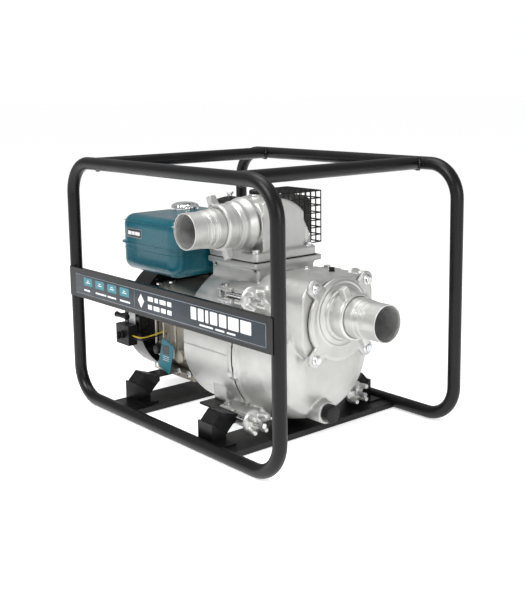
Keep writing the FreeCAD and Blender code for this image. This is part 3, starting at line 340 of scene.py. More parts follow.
def rounded_block(half, radius, steps=8):
    """A block with rounded edges: a sphere's directions pushed out to the corners of the smaller block."""
    half = np.asarray(half, float)
    radius = min(radius, half.min() * 0.999)
    tilt = np.concatenate([np.linspace(-np.pi / 2, 0, steps), np.linspace(0, np.pi / 2, steps)])
    turn = np.concatenate([np.linspace(0, np.pi / 2, steps) + q * np.pi / 2 for q in range(4)])
    quarter = np.repeat(np.arange(4), steps)
    side_x = np.where((quarter == 0) | (quarter == 3), 1.0, -1.0)
    side_y = np.where(quarter < 2, 1.0, -1.0)
    side_z = np.repeat([-1.0, 1.0], steps)
    core = half - radius
    x = side_x[None] * core[0] + radius * np.cos(tilt)[:, None] * np.cos(turn)[None]
    y = side_y[None] * core[1] + radius * np.cos(tilt)[:, None] * np.sin(turn)[None]
    z = np.broadcast_to((side_z * core[2] + radius * np.sin(tilt))[:, None], x.shape)
    return closed_surface(np.stack([x, y, z], -1))


def plate(outline, depth, edge=0.001, steps=4):
    """A flat plate from z = 0 to depth with rounded rims; rims move in along the outline's normals."""
    outline = np.asarray(outline, float)
    along = np.roll(outline, -1, 0) - np.roll(outline, 1, 0)
    normal = np.stack([along[:, 1], -along[:, 0]], 1)
    normal /= np.linalg.norm(normal, axis=1)[:, None]
    turn = np.linspace(0, np.pi / 2, steps)
    inset = np.concatenate([edge * (1 - np.sin(turn)), edge * (1 - np.cos(turn))])
    height = np.concatenate([edge * (1 - np.cos(turn)), depth - edge * (1 - np.sin(turn))])
    flat = outline[None] - normal[None] * inset[:, None, None]
    rise = np.broadcast_to(height[:, None, None], flat.shape[:2] + (1,))
    return closed_surface(np.concatenate([flat, rise], -1))


def polygon_outline(radius, sides, steps=12, soft=0.12):
    """A regular polygon with softened corners, as radius over angle."""
    angle = np.linspace(0, 2 * np.pi, sides * steps, endpoint=False)
    within = (angle % (2 * np.pi / sides)) - np.pi / sides
    reach = radius * np.cos(np.pi / sides) / np.cos(within)
    reach = np.minimum(reach, radius * (1 - soft * 0.5))
    return np.stack([reach * np.cos(angle), reach * np.sin(angle)], 1)


def box_outline(half_x, half_y, corner, steps=6):
    """A rectangle with round corners, counter-clockwise."""
    turn = np.concatenate([np.linspace(0, np.pi / 2, steps) + q * np.pi / 2 for q in range(4)])
    quarter = np.repeat(np.arange(4), steps)
    side_x = np.where((quarter == 0) | (quarter == 3), 1.0, -1.0)
    side_y = np.where(quarter < 2, 1.0, -1.0)
    return np.stack([side_x * (half_x - corner) + corner * np.cos(turn),
                     side_y * (half_y - corner) + corner * np.sin(turn)], 1)


def lobed_outline(radius, lobe, offset, steps=240, sharp=340.0):
    """A disc with four round lobes on its diagonals, run together by a soft maximum."""
    angle = np.linspace(0, 2 * np.pi, steps, endpoint=False)
    reach = [np.full_like(angle, radius)]
    for q in range(4):
        centre = offset * np.array([1 if q in (0, 3) else -1, 1 if q < 2 else -1])
        along = centre[0] * np.cos(angle) + centre[1] * np.sin(angle)
        under = lobe ** 2 - (centre @ centre - along ** 2)
        reach.append(np.where((under > 0) & (along > 0), along + np.sqrt(np.maximum(under, 0)), 0))
    total = np.log(np.exp(sharp * (np.array(reach) - radius)).sum(0)) / sharp + radius
    return np.stack([total * np.cos(angle), total * np.sin(angle)], 1)


def hex_head(radius=0.0078, height=0.0068, flange=0.0098):
    """Flanged hexagon head, seat at z = 0: a turned flange, a chamfered hexagon and a shallow dish."""
    washer = turned(softened([(0, 0), (flange, 0), (flange, 0.0012), (radius * 0.9, 0.0024), (0, 0.0024)],
                             0.0005), 32)
    head = plate(polygon_outline(radius, 6, 6), height, 0.0009)
    dish = turned([(0, height + 0.0002), (radius * 0.55, height + 0.0002), (radius * 0.5, height - 0.001),
                   (0, height - 0.001)], 24)
    return joined(washer, head, dish)


# ---------------------------------------------------------------- pieces

def piece(name, shape, finish, body, slot, replaces=(), crease=35.0, sharp=True):
    """Puts a shape into the scene as one object that moves with a body, or with none until it is blended."""
    points, faces = shape
    mesh = bpy.data.meshes.new(name)
    mesh.from_pydata(points.tolist(), [], outward(points, faces))
    mesh.update()
    mesh.shade_smooth()
    if sharp:
        mesh.set_sharp_from_angle(angle=math.radians(crease))
    thing = bpy.data.objects.new(name, mesh)
    bpy.context.scene.collection.objects.link(thing)
    mesh.materials.append(finish)
    if body:
        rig.ride(thing, body)
    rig.slot(thing, slot)
    if replaces:
        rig.replaces(thing, *replaces)
    return thing


def node_shape(name):
    """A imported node's closed shape with its loose triangles merged."""
    mesh = bmesh.new()
    mesh.from_mesh(NODES[name].data)
    bmesh.ops.remove_doubles(mesh, verts=mesh.verts, dist=1e-6)
    points = np.array([v.co[:] for v in mesh.verts])
    faces = [[v.index for v in face.verts] for face in mesh.faces]
    mesh.free()
    return points, faces


def casting(name, shape, finish, body, slot, replaces=(), grid=None, passes=4):
    """A cast piece: overlapping closed shapes run together on a grid, then smoothed to soft edges."""
    thing = piece(name, shape, finish, body, slot, replaces, sharp=False)
    remesh = thing.modifiers.new("run_together", "REMESH")
    remesh.mode = "VOXEL"
    remesh.voxel_size = grid or sizes().casting_voxel
    remesh.use_smooth_shade = True
    soften = thing.modifiers.new("soften", "SMOOTH")
    soften.factor = 0.5
    soften.iterations = passes
    return thing


def paint(node, finish):
    """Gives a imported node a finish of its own."""
    slots = NODES[node].material_slots
    if not slots:
        NODES[node].data.materials.append(finish)
    for slot in slots:
        slot.material = finish


# ---------------------------------------------------------------- finishes

class Finish:
    """A material with one Principled shader, and short calls for the patterns that feed it."""

    def __init__(self, name, colour, metallic=0.0, roughness=0.5, **sockets):
        self.material = bpy.data.materials.new(name)
        self.material.use_nodes = True
        self.tree = self.material.node_tree
        self.shader = self.tree.nodes["Principled BSDF"]
        self.shader.inputs["Base Color"].default_value = (*colour, 1)
        self.shader.inputs["Metallic"].default_value = metallic
        self.shader.inputs["Roughness"].default_value = roughness
        for socket, value in sockets.items():
            self.shader.inputs[socket.replace("_", " ")].default_value = value
        self.colour = tuple(colour)
        self.normal = None

    def node(self, kind, **settings):
        made = self.tree.nodes.new(kind)
        for key, value in settings.items():
            setattr(made, key, value)
        return made

    def link(self, start, end):
        self.tree.links.new(start, end)

    def place(self, stretch=(1, 1, 1), shift=(0, 0, 0)):
        coords = self.node("ShaderNodeTexCoord")
        mapping = self.node("ShaderNodeMapping")
        mapping.inputs["Scale"].default_value = stretch
        mapping.inputs["Location"].default_value = shift
        self.link(coords.outputs["Object"], mapping.inputs["Vector"])
        return mapping.outputs["Vector"]

    def noise(self, scale, detail=4.0, stretch=(1, 1, 1), distortion=0.0):
        pattern = self.node("ShaderNodeTexNoise")
        pattern.inputs["Scale"].default_value = scale
        pattern.inputs["Detail"].default_value = detail
        pattern.inputs["Distortion"].default_value = distortion
        self.link(self.place(stretch), pattern.inputs["Vector"])
        return pattern.outputs["Fac"]

    def ramp(self, factor, stops):
        ramp = self.node("ShaderNodeValToRGB")
        elements = ramp.color_ramp.elements
        for number, (position, colour) in enumerate(stops):
            element = elements[number] if number < 2 else elements.new(position)
            element.position = position
            element.color = (*colour, 1)
        self.link(factor, ramp.inputs["Fac"])
        return ramp.outputs["Color"]

    def spread(self, factor, low, high, start=0.3, end=0.7):
        reach = self.node("ShaderNodeMapRange")
        for socket, value in zip(("From Min", "From Max", "To Min", "To Max"), (start, end, low, high)):
            reach.inputs[socket].default_value = value
        self.link(factor, reach.inputs["Value"])
        return reach.outputs["Result"]

    def mottle(self, factor, amount=0.15):
        """Colour that drifts by a share to each side of the plain colour."""
        dark = tuple(c * (1 - amount) for c in self.colour)
        light = tuple(min(1, c * (1 + amount)) for c in self.colour)
        self.link(self.ramp(factor, [(0.3, dark), (0.7, light)]), self.shader.inputs["Base Color"])
        return self

    def gloss(self, factor, low, high):
        self.link(self.spread(factor, low, high), self.shader.inputs["Roughness"])
        return self

    def rounded(self, radius=None):
        """Rounds sharp edges in the shading."""
        bevel = self.node("ShaderNodeBevel", samples=4)
        bevel.inputs["Radius"].default_value = radius or sizes().edge_round
        self.normal = bevel.outputs["Normal"]
        self.link(self.normal, self.shader.inputs["Normal"])
        return self

    def bump(self, height, distance, strength=1.0):
        bump = self.node("ShaderNodeBump")
        bump.inputs["Strength"].default_value = strength
        bump.inputs["Distance"].default_value = distance
        self.link(height, bump.inputs["Height"])
        if self.normal is not None:
            self.link(self.normal, bump.inputs["Normal"])
        self.normal = bump.outputs["Normal"]
        self.link(self.normal, self.shader.inputs["Normal"])
        return self


FINISHES = {}


def finish(name):
    """Makes each finish once."""
    if name not in FINISHES:
        FINISHES[name] = globals()[f"{name}_finish"]().material
    return FINISHES[name]


def black_enamel_finish():
    """Satin black enamel on tube and sheet, with a faint orange peel."""
    made = Finish("black_enamel", (0.004, 0.004, 0.0045), 0.0, 0.36, Specular_IOR_Level=0.28)
    made.mottle(made.noise(9, 3), 0.25).gloss(made.noise(22, 3), 0.28, 0.42)
    return made.rounded(0.0008).bump(made.noise(420, 2), 0.00012, 0.35)


def gloss_black_finish():
    """Glossier black enamel on pressed covers."""
    made = Finish("gloss_black", (0.004, 0.004, 0.0045), 0.0, 0.22, Specular_IOR_Level=0.32)
    made.mottle(made.noise(12, 3), 0.2).gloss(made.noise(30, 3), 0.16, 0.3)
    return made.rounded().bump(made.noise(300, 2), 0.0001, 0.3)


def blasted_finish():
    """Blasted cast aluminium: fine bright grain, cloudy patches and slightly darker hollows."""
    made = Finish("blasted_aluminium", colours().castings, 0.82, 0.44)
    made.mottle(made.noise(16, 6, distortion=0.4), 0.07).gloss(made.noise(55, 5), 0.38, 0.52)
    made.bump(made.noise(1500, 2), 0.00022, 0.55)
    return made.bump(made.noise(120, 4), 0.0007, 0.25)


def coupling_finish():
    """Cast aluminium with a lighter skin, for tails, nuts and knobs."""
    made = Finish("coupling_aluminium", tuple(min(1, c * 1.15) for c in colours().castings), 0.82, 0.38)
    made.mottle(made.noise(40, 5), 0.06).gloss(made.noise(90, 4), 0.38, 0.54)
    return made.bump(made.noise(1700, 2), 0.00016, 0.45)


def bore_finish():
    """The dull grey water side of the tails."""
    made = Finish("water_side", (0.30, 0.30, 0.30), 0.4, 0.62)
    made.mottle(made.noise(60, 5), 0.18)
    return made.bump(made.noise(500, 3), 0.0003, 0.5)


def engine_finish():
    """Warm silver die casting of the engine."""
    made = Finish("engine_silver", colours().engine, 0.75, 0.42)
    made.mottle(made.noise(18, 5), 0.12).gloss(made.noise(60, 4), 0.34, 0.52)
    return made.rounded(0.002).bump(made.noise(900, 2), 0.0002, 0.5)


def zinc_finish():
    """Bright zinc plate with a faint blue and brown drift."""
    made = Finish("zinc_plate", (0.66, 0.68, 0.70), 1.0, 0.25)
    made.link(made.ramp(made.noise(70, 3), [(0.3, (0.60, 0.63, 0.68)), (0.7, (0.74, 0.72, 0.68))]),
              made.shader.inputs["Base Color"])
    made.gloss(made.noise(160, 3), 0.18, 0.36)
    return made.rounded(0.0006)


def chrome_finish():
    """Chrome plate."""
    made = Finish("chrome_plate", (0.86, 0.87, 0.88), 1.0, 0.07)
    return made.mottle(made.noise(10, 2), 0.03).gloss(made.noise(40, 3), 0.05, 0.11)


def tank_finish():
    """Teal enamel under a clear coat."""
    made = Finish("tank_enamel", colours().tank, 0.0, 0.3, Specular_IOR_Level=0.3, Coat_Weight=0.3,
                  Coat_Roughness=0.05)
    made.mottle(made.noise(8, 3), 0.08).gloss(made.noise(30, 3), 0.22, 0.34)
    return made.bump(made.noise(260, 2), 0.00008, 0.25)


def rubber_finish():
    """Dull black rubber with a dusty drift."""
    made = Finish("black_rubber", (0.006, 0.006, 0.0065), 0.0, 0.68, Specular_IOR_Level=0.25)
    made.mottle(made.noise(35, 5), 0.45).gloss(made.noise(80, 4), 0.58, 0.8)
    return made.rounded(0.001).bump(made.noise(700, 3), 0.0002, 0.5)


def plastic_finish():
    """Fine grained black moulded plastic."""
    made = Finish("black_plastic", (0.005, 0.005, 0.0055), 0.0, 0.42, Specular_IOR_Level=0.3)
    made.mottle(made.noise(40, 4), 0.25).gloss(made.noise(90, 3), 0.36, 0.5)
    return made.rounded(0.0008).bump(made.noise(1100, 2), 0.0002, 0.5)


def iron_finish():
    """Grey cast iron."""
    made = Finish("cast_iron", (0.10, 0.10, 0.10), 0.7, 0.6)
    made.mottle(made.noise(40, 5), 0.3)
    return made.rounded().bump(made.noise(600, 3), 0.0004, 0.7)


def steel_finish():
    """Ground bright steel."""
    made = Finish("ground_steel", (0.56, 0.56, 0.57), 1.0, 0.3)
    made.mottle(made.noise(60, 4), 0.1)
    return made.gloss(made.noise(200, 3, (1, 1, 20)), 0.22, 0.42)


def muffler_finish():
    """Dull heat-stained steel."""
    made = Finish("muffler_steel", (0.05, 0.048, 0.046), 0.6, 0.55)
    made.mottle(made.noise(25, 5), 0.4)
    return made.rounded().bump(made.noise(500, 3), 0.0002, 0.4)


def label_finish():
    """Dark blue-grey printed film under a satin laminate."""
    made = Finish("label_film", colours().label, 0.0, 0.42, Specular_IOR_Level=0.3)
    made.mottle(made.noise(6, 2), 0.12)
    return made.gloss(made.noise(50, 3), 0.32, 0.44)


def print_white_finish():
    """White print."""
    made = Finish("white_print", (0.78, 0.79, 0.80), 0.0, 0.45)
    return made.mottle(made.noise(90, 3), 0.05)


def print_teal_finish():
    """Teal print on the label."""
    made = Finish("teal_print", (0.035, 0.20, 0.24), 0.0, 0.42)
    return made.mottle(made.noise(90, 3), 0.12)


def print_grey_finish():
    """Grey print lines."""
    made = Finish("grey_print", (0.30, 0.32, 0.34), 0.0, 0.42)
    return made.mottle(made.noise(90, 3), 0.1)


def badge_finish():
    """Dark badge plate."""
    made = Finish("badge_plate", (0.045, 0.05, 0.055), 0.2, 0.35)
    return made.mottle(made.noise(120, 3), 0.2)


def tag_finish():
    """Printed teal card."""
    made = Finish("tag_card", colours().tag, 0.0, 0.5)
    return made.mottle(made.noise(60, 3), 0.12)


def yellow_wire_finish():
    """Yellow wire insulation."""
    made = Finish("yellow_wire", (0.62, 0.46, 0.02), 0.0, 0.4)
    return made.mottle(made.noise(120, 3), 0.15)


def rope_finish():
    """Braided nylon: crossed diagonal strands."""
    made = Finish("nylon_rope", (0.62, 0.62, 0.58), 0.0, 0.8)
    strands = made.node("ShaderNodeTexWave", wave_type="BANDS", bands_direction="DIAGONAL")
    strands.inputs["Scale"].default_value = 260
    made.link(made.place(), strands.inputs["Vector"])
    return made.mottle(made.noise(300, 3), 0.15).bump(strands.outputs["Fac"], 0.0004, 0.8)


# ---------------------------------------------------------------- operators: the frame

class PUMP_OT_frame(bpy.types.Operator):
    """Frame tubes, channels and arms in black enamel, with weld beads where the cross tubes meet the loops"""
    bl_idname = "pump.frame"
    bl_label = "Carrying frame"

    def execute(self, context):
        for name in ("frame_loop_left", "frame_loop_right", "top_tubes", "base_channels", "mount_arms"):
            paint(name, finish("black_enamel"))
        low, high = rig.box("top_tubes")
        tube_radius = (high.z - low.z) / 2
        level = (high.z + low.z) / 2
        beads = []
        angle = np.linspace(0, 2 * np.pi, 72, endpoint=False)
        ripple = sizes().weld_bead * (1 + 0.16 * np.cos(18 * angle))
        for x in (low.x + tube_radius, high.x - tube_radius):
            for y_end, side in ((low.y, -1), (high.y, 1)):
                # the bead follows the saddle where two equal tubes cross
                path = np.stack([x + (tube_radius + 0.0006) * np.cos(angle),
                                 y_end - side * (tube_radius * np.abs(np.cos(angle)) + 0.0012),
                                 level + np.minimum((tube_radius + 0.0006) * np.sin(angle),
                                                    tube_radius - 0.0032)], 1)
                beads.append(tube(path, ripple, 8, closed=True))
        piece("frame_welds", joined(*beads), finish("black_enamel"), "machine", "frame_paint")
        return {"FINISHED"}


class PUMP_OT_mounts(bpy.types.Operator):
    """Rubber blocks between their seats and arms, and the gaskets in the same rubber"""
    bl_idname = "pump.mounts"
    bl_label = "Rubber mounts"

    def execute(self, context):
        paint("rubber_mounts", finish("rubber"))
        paint("gaskets", finish("rubber"))
        return {"FINISHED"}


class PUMP_OT_band(bpy.types.Operator):
    """Sheet band with its printed label: film, border lines and plain blocks in place of print"""
    bl_idname = "pump.band"
    bl_label = "Side band and label"

    def execute(self, context):
        paint("name_panel", finish("gloss_black"))
        low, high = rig.box("name_panel")
        face = low.y
        start, end = low.x + 0.024, high.x - 0.014
        bottom, top = low.z + 0.007, high.z - 0.010
        middle_x, middle_z = (start + end) / 2, (bottom + top) / 2

        def block(x0, x1, z0, z1, lift, corner=0.0006):
            outline = box_outline((x1 - x0) / 2, (z1 - z0) / 2, corner, 3)
            return moved(plate(outline, 0.0001, 0.00004, 2),
                         ((x0 + x1) / 2, face + 0.0001 - lift, (z0 + z1) / 2), "-Y")

        half_x, half_z = (end - start) / 2, (top - bottom) / 2
        film = plate(box_outline(half_x, half_z, 0.003), 0.0003, 0.0001)
        piece("label_film", moved(film, (middle_x, face + 0.0002, middle_z), "-Y"), finish("label"),
              "machine", "band_paint")
        line, gap = 0.0009, 0.0025
        rails = [block(start + gap, end - gap, bottom + gap, bottom + gap + line, 0.0002),
                 block(start + gap, end - gap, top - gap - line, top - gap, 0.0002),
                 block(end - gap - line, end - gap, bottom + gap, top - gap, 0.0002),
                 block(start + 0.228, start + 0.2288, bottom + 0.006, top - 0.006, 0.0002)]
        piece("label_lines", joined(*rails), finish("print_grey"), "machine", "band_paint")
        squares, bars = [], []
        for number in range(4):
            at = start + 0.034 + number * 0.047
            squares.append(block(at, at + 0.034, middle_z - 0.001, middle_z + 0.016, 0.0002, 0.002))
            bars.append(block(at + 0.009, at + 0.025, middle_z + 0.005, middle_z + 0.0066, 0.0003))
            bars.append(block(at + 0.013, at + 0.021, middle_z + 0.009, middle_z + 0.0106, 0.0003))
        for number, width in enumerate((0.030, 0.052, 0.040, 0.046)):
            at = start + 0.034 + number * 0.047
            bars.append(block(at, at + width * 0.8, middle_z - 0.0128, middle_z - 0.0092, 0.0002))
        piece("label_squares", joined(*squares), finish("print_teal"), "machine", "band_paint")
        # a plain diamond and two rows of bars stand in the middle field
        mark = start + 0.236
        diamond = np.array([[0.011, 0], [0, 0.014], [-0.011, 0], [0, -0.014]])
        bars.append(moved(plate(diamond, 0.0001, 0.00004, 2), (mark + 0.016, face - 0.0001, middle_z), "-Y"))
        for rise, widths in ((0.0035, (0.018, 0.012, 0.020, 0.014)), (-0.0125, (0.014, 0.020, 0.016, 0.014))):
            at = mark + 0.040
            for width in widths:
                bars.append(block(at, at + width, middle_z + rise, middle_z + rise + 0.009, 0.0002, 0.001))
                at += width + 0.005
        # wide blocks and a thin row under them fill the right field
        at = end - 0.214
        for width in (0.022, 0.022, 0.014, 0.026, 0.026, 0.034, 0.034):
            bars.append(block(at, at + width - 0.005, middle_z - 0.007, middle_z + 0.016, 0.0002, 0.0015))
            at += width
        at = end - 0.188
        for width in (0.040, 0.026, 0.024):
            bars.append(block(at, at + width, middle_z - 0.0155, middle_z - 0.0122, 0.0002, 0.0008))
            at += width + 0.007
        piece("label_print", joined(*bars), finish("print_white"), "machine", "band_paint")
        return {"FINISHED"}


# ---------------------------------------------------------------- operators: the pump

class PUMP_OT_casings(bpy.types.Operator):
    """Rear and front casings as soft-edged castings, with parting lines and small ears"""
    bl_idname = "pump.casings"
    bl_label = "Pump casings"

    def execute(self, context):
        rear_low, rear_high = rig.box("rear_casing")
        drum = 0.146
        casting("rear_casing_skin",
                joined(node_shape("rear_casing"), *self.rear_features(rear_low, rear_high, drum)),
                finish("blasted"), "machine", "pump_casting", ["rear_casing"])
        casting("front_casing_skin", joined(node_shape("front_casing"), *self.front_features()),
                finish("blasted"), "machine", "pump_casting", ["front_casing"])
        lines = []
        x = np.linspace(rear_low.x + 0.004, rear_high.x - 0.014, 24)
        for side in (-1, 1):
            for drop in (0.0, 0.002):
                level = SHAFT_HEIGHT - drop
                path = np.stack([x, np.full_like(x, side * (drum + 0.0001)), np.full_like(x, level)], 1)
                lines.append(tube(path, 0.0006, 6))
        piece("parting_lines", joined(*lines), finish("blasted"), "machine", "pump_casting")
        return {"FINISHED"}

    def rear_features(self, low, high, drum):
        """Ears on the joint flange at the drum's side and low down."""
        shapes = []
        for side in (-1, 1):
            for turn, reach in ((-14, 0.006), (-38, 0.005)):
                angle = math.radians(turn)
                centre = (high.x - 0.009, side * (0.150 + reach / 2 - 0.004) * math.cos(angle),
                          SHAFT_HEIGHT + (0.150 + reach / 2 - 0.004) * math.sin(angle))
                shapes.append(moved(rounded_block((0.008, 0.005, 0.007), 0.003, 4), centre))
        return shapes

    def front_features(self):
        """Ears beside the joint flange, at the height of the rear casing's."""
        shapes = []
        for side in (-1, 1):
            for turn in (-14, -38):
                angle = math.radians(turn)
                centre = (0.0985, side * 0.147 * math.cos(angle), SHAFT_HEIGHT + 0.147 * math.sin(angle))
                shapes.append(moved(rounded_block((0.005, 0.006, 0.007), 0.003, 4), centre))
        return shapes


class PUMP_OT_suction_cover(bpy.types.Operator):
    """Four-lobed cover with a raised bead, a stepped boss and a threaded spigot"""
    bl_idname = "pump.suction_cover"
    bl_label = "Suction cover"

    def execute(self, context):
        low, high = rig.box("suction_cover")
        start = low.x
        middle = (low.z + high.z) / 2
        depth = 0.008
        outline = lobed_outline(0.0808, 0.0165, 0.067)
        slab = moved(plate(outline, depth, 0.002), (start, 0, middle), "+X")
        rim = moved(plate(outline * 0.93, depth + 0.0012, 0.0012), (start, 0, middle), "+X")
        angle = np.linspace(0, 2 * np.pi, 160, endpoint=False)
        bead = np.stack([np.full_like(angle, start + depth + 0.0008), 0.0615 * np.cos(angle),
                         PORT[1] + 0.0615 * np.sin(angle)], 1)
        boss = softened([(0.032, 0), (0.058, 0), (0.058, depth + 0.002), (0.0545, depth + 0.0045),
                         (0.051, depth + 0.0045), (0.049, depth + 0.011), (0.0445, depth + 0.0125),
                         (0.0412, depth + 0.0125), (0.0412, high.x - start), (0.032, high.x - start)], 0.0015)
        shape = joined(slab, rim, tube(bead, 0.0022, 10, closed=True),
                       moved(turned(boss, 128), (start, 0, PORT[1]), "+X"))
        casting("suction_cover_skin", shape, finish("blasted"), "machine", "pump_casting", ["suction_cover"],
                grid=0.0015, passes=3)
        return {"FINISHED"}


class PUMP_OT_elbow(bpy.types.Operator):
    """Discharge elbow as a soft-edged casting whose mouth flares in from the coupling nut"""
    bl_idname = "pump.elbow"
    bl_label = "Discharge elbow"

    def execute(self, context):
        flare = softened([(0.037, 0), (0.0450, 0), (0.0462, 0.004), (0.0495, 0.018), (0.0560, 0.034),
                          (0.037, 0.034)],
                         0.003)
        collar = moved(turned(flare, 96), (OUTLET[0], -0.1002, OUTLET[1]), "+Y")
        casting("elbow_skin", joined(node_shape("elbow"), collar), finish("blasted"), "machine",
                "pump_casting",
                ["elbow"], grid=0.0018, passes=5)
        return {"FINISHED"}


class PUMP_OT_hose_tails(bpy.types.Operator):
    """Hose tails: a turned taper with fine rings, a plain land and a thin rim"""
    bl_idname = "pump.hose_tails"
    bl_label = "Hose tails"

    def execute(self, context):
        for name, turn in (("suction_tail", "+X"), ("discharge_tail", "-Y")):
            low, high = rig.box(name)
            along = 0 if turn == "+X" else 1
            length = (high - low)[along]
            seat = [(low[i] + high[i]) / 2 for i in range(3)]
            seat[along] = low.x if turn == "+X" else high.y
            outer = self.outer_profile(length)
            inner = softened([(0.0338, length), (0.0325, length - 0.003), (0.031, length - 0.02),
                              (0.030, 0.002),
                              (0.030, 0)], 0.001)
            rim = np.array([[0.0352, length], [0.0341, length]])
            skin = np.vstack([outer, rim, inner, [(0.0405, 0)]])
            piece(f"{name}_skin", moved(turned(skin, 128), seat, turn), finish("coupling"), "machine",
                  "coupling_casting", [name], crease=60)
            bore = np.vstack([np.array([[0.0337, length - 0.0006], [0.0312, length - 0.0195],
                                        [0.0301, 0.003]]),
                              np.array([[0.0296, 0.003], [0.0307, length - 0.0195],
                                        [0.0332, length - 0.0006]])])
            piece(f"{name}_bore", moved(turned(bore, 96), seat, turn), finish("bore"), "machine",
                  "coupling_casting")
        return {"FINISHED"}

    def outer_profile(self, length):
        """Radius over length: flange, root, a stepped taper with sine rings, then a plain land."""
        z = np.linspace(0.0, length - 0.0008, 420)
        radius = np.interp(z, [0, 0.006, 0.0061, 0.028, length - 0.03, length - 0.0012, length - 0.0008],
                           [0.0412, 0.0412, 0.0385, 0.0384, 0.0355, 0.0355, 0.0352])
        steps = 0.0003 * np.clip(np.sin((z - 0.028) * 2 * np.pi / 0.0125) * 6, -1, 1)
        rings = 0.00012 * np.sin(z * 2 * np.pi / sizes().ring_pitch)
        taper = ((z > 0.030) & (z < length - 0.028)).astype(float)
        land = (z >= length - 0.028).astype(float)
        return np.stack([radius - 0.0004 * taper + (steps + rings) * taper + rings * 0.25 * land, z], 1)


class PUMP_OT_nuts(bpy.types.Operator):
    """Coupling nuts: a stepped ring with two cast spanner lugs"""
    bl_idname = "pump.nuts"
    bl_label = "Coupling nuts"

    def execute(self, context):
        for name, turn, spin in (("suction_nut", "+X", 117), ("discharge_nut", "-Y", 115)):
            low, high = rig.box(name)
            along = 0 if turn == "+X" else 1
            length = (high - low)[along]
            centre = (0, *PORT) if turn == "+X" else (OUTLET[0], 0, OUTLET[1])
            seat = [centre[0], centre[1], centre[2]]
            seat[along] = low.x if turn == "+X" else high.y
            ring = softened([(0.0418, 0), (0.0442, 0), (0.0442, 0.0075), (0.0455, 0.009),
                             (0.0455, length - 0.004),
                             (0.043, length), (0.0391, length), (0.0391, length - 0.0062),
                             (0.0418, length - 0.0062)],
                            0.0012)
            lugs = [moved(self.lug(), (0, 0, 0), "+Z", half) for half in (0, 180)]
            shape = joined(turned(ring, 128), *lugs)
            casting(f"{name}_skin", moved(shape, seat, turn, spin), finish("coupling"), name,
                    "coupling_casting",
                    [name], grid=sizes().small_voxel, passes=2)
        return {"FINISHED"}

    def lug(self):
        """A tapered paddle: rounded sections shrink from the ring out to the end."""
        block = rounded_block((0.0115, 0.0075, 0.0095), 0.0022, 5)
        points, faces = block
        out = (points[:, 0] + 0.0115) / 0.023
        points = points.copy()
        points[:, 2] = points[:, 2] * (1 - 0.22 * out) + 0.0022 * out
        return points + np.array([0.0535, 0, 0.0195]), faces


class PUMP_OT_clamps(bpy.types.Operator):
    """Swing bolts in zinc plate and cast wing knobs: a round hub with a dish and four claws"""
    bl_idname = "pump.clamps"
    bl_label = "Casing clamps"

    def execute(self, context):
        paint("clamp_pins", finish("zinc"))
        for index, y, z in CLAMPS:
            paint(f"swing_bolt_{index}", finish("zinc"))
            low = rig.box(f"wing_knob_{index}")[0]
            hub = softened([(0.0052, 0), (0.0135, 0), (0.0155, 0.004), (0.0235, 0.0075), (0.0245, 0.0105),
                            (0.0225, 0.0145), (0.0165, 0.0165), (0.0135, 0.019), (0.0085, 0.0195),
                            (0.0052, 0.0195)],
                           0.002)
            claws = [moved(self.claw(), (0, 0, 0), "+Z", 45 + 90 * number) for number in range(4)]
            shape = joined(turned(hub, 72), *claws)
            casting(f"wing_knob_{index}_skin", moved(shape, (low.x, y, z), "+X"), finish("coupling"),
                    f"wing_knob_{index}", "knob_casting", [f"wing_knob_{index}"],
                    grid=sizes().small_voxel, passes=3)
        return {"FINISHED"}

    def claw(self):
        """A round finger that leaves the hub's rim, swells, and leans forward to a blunt end."""
        s = np.linspace(0, 1, 14)
        path = np.stack([0.013 + 0.0062 * np.sin(s * np.pi / 2), np.zeros_like(s), 0.008 + 0.0275 * s], 1)
        radius = 0.0062 - 0.0016 * s + 0.0006 * np.sin(s * np.pi)
        return tube(path, radius, 16)


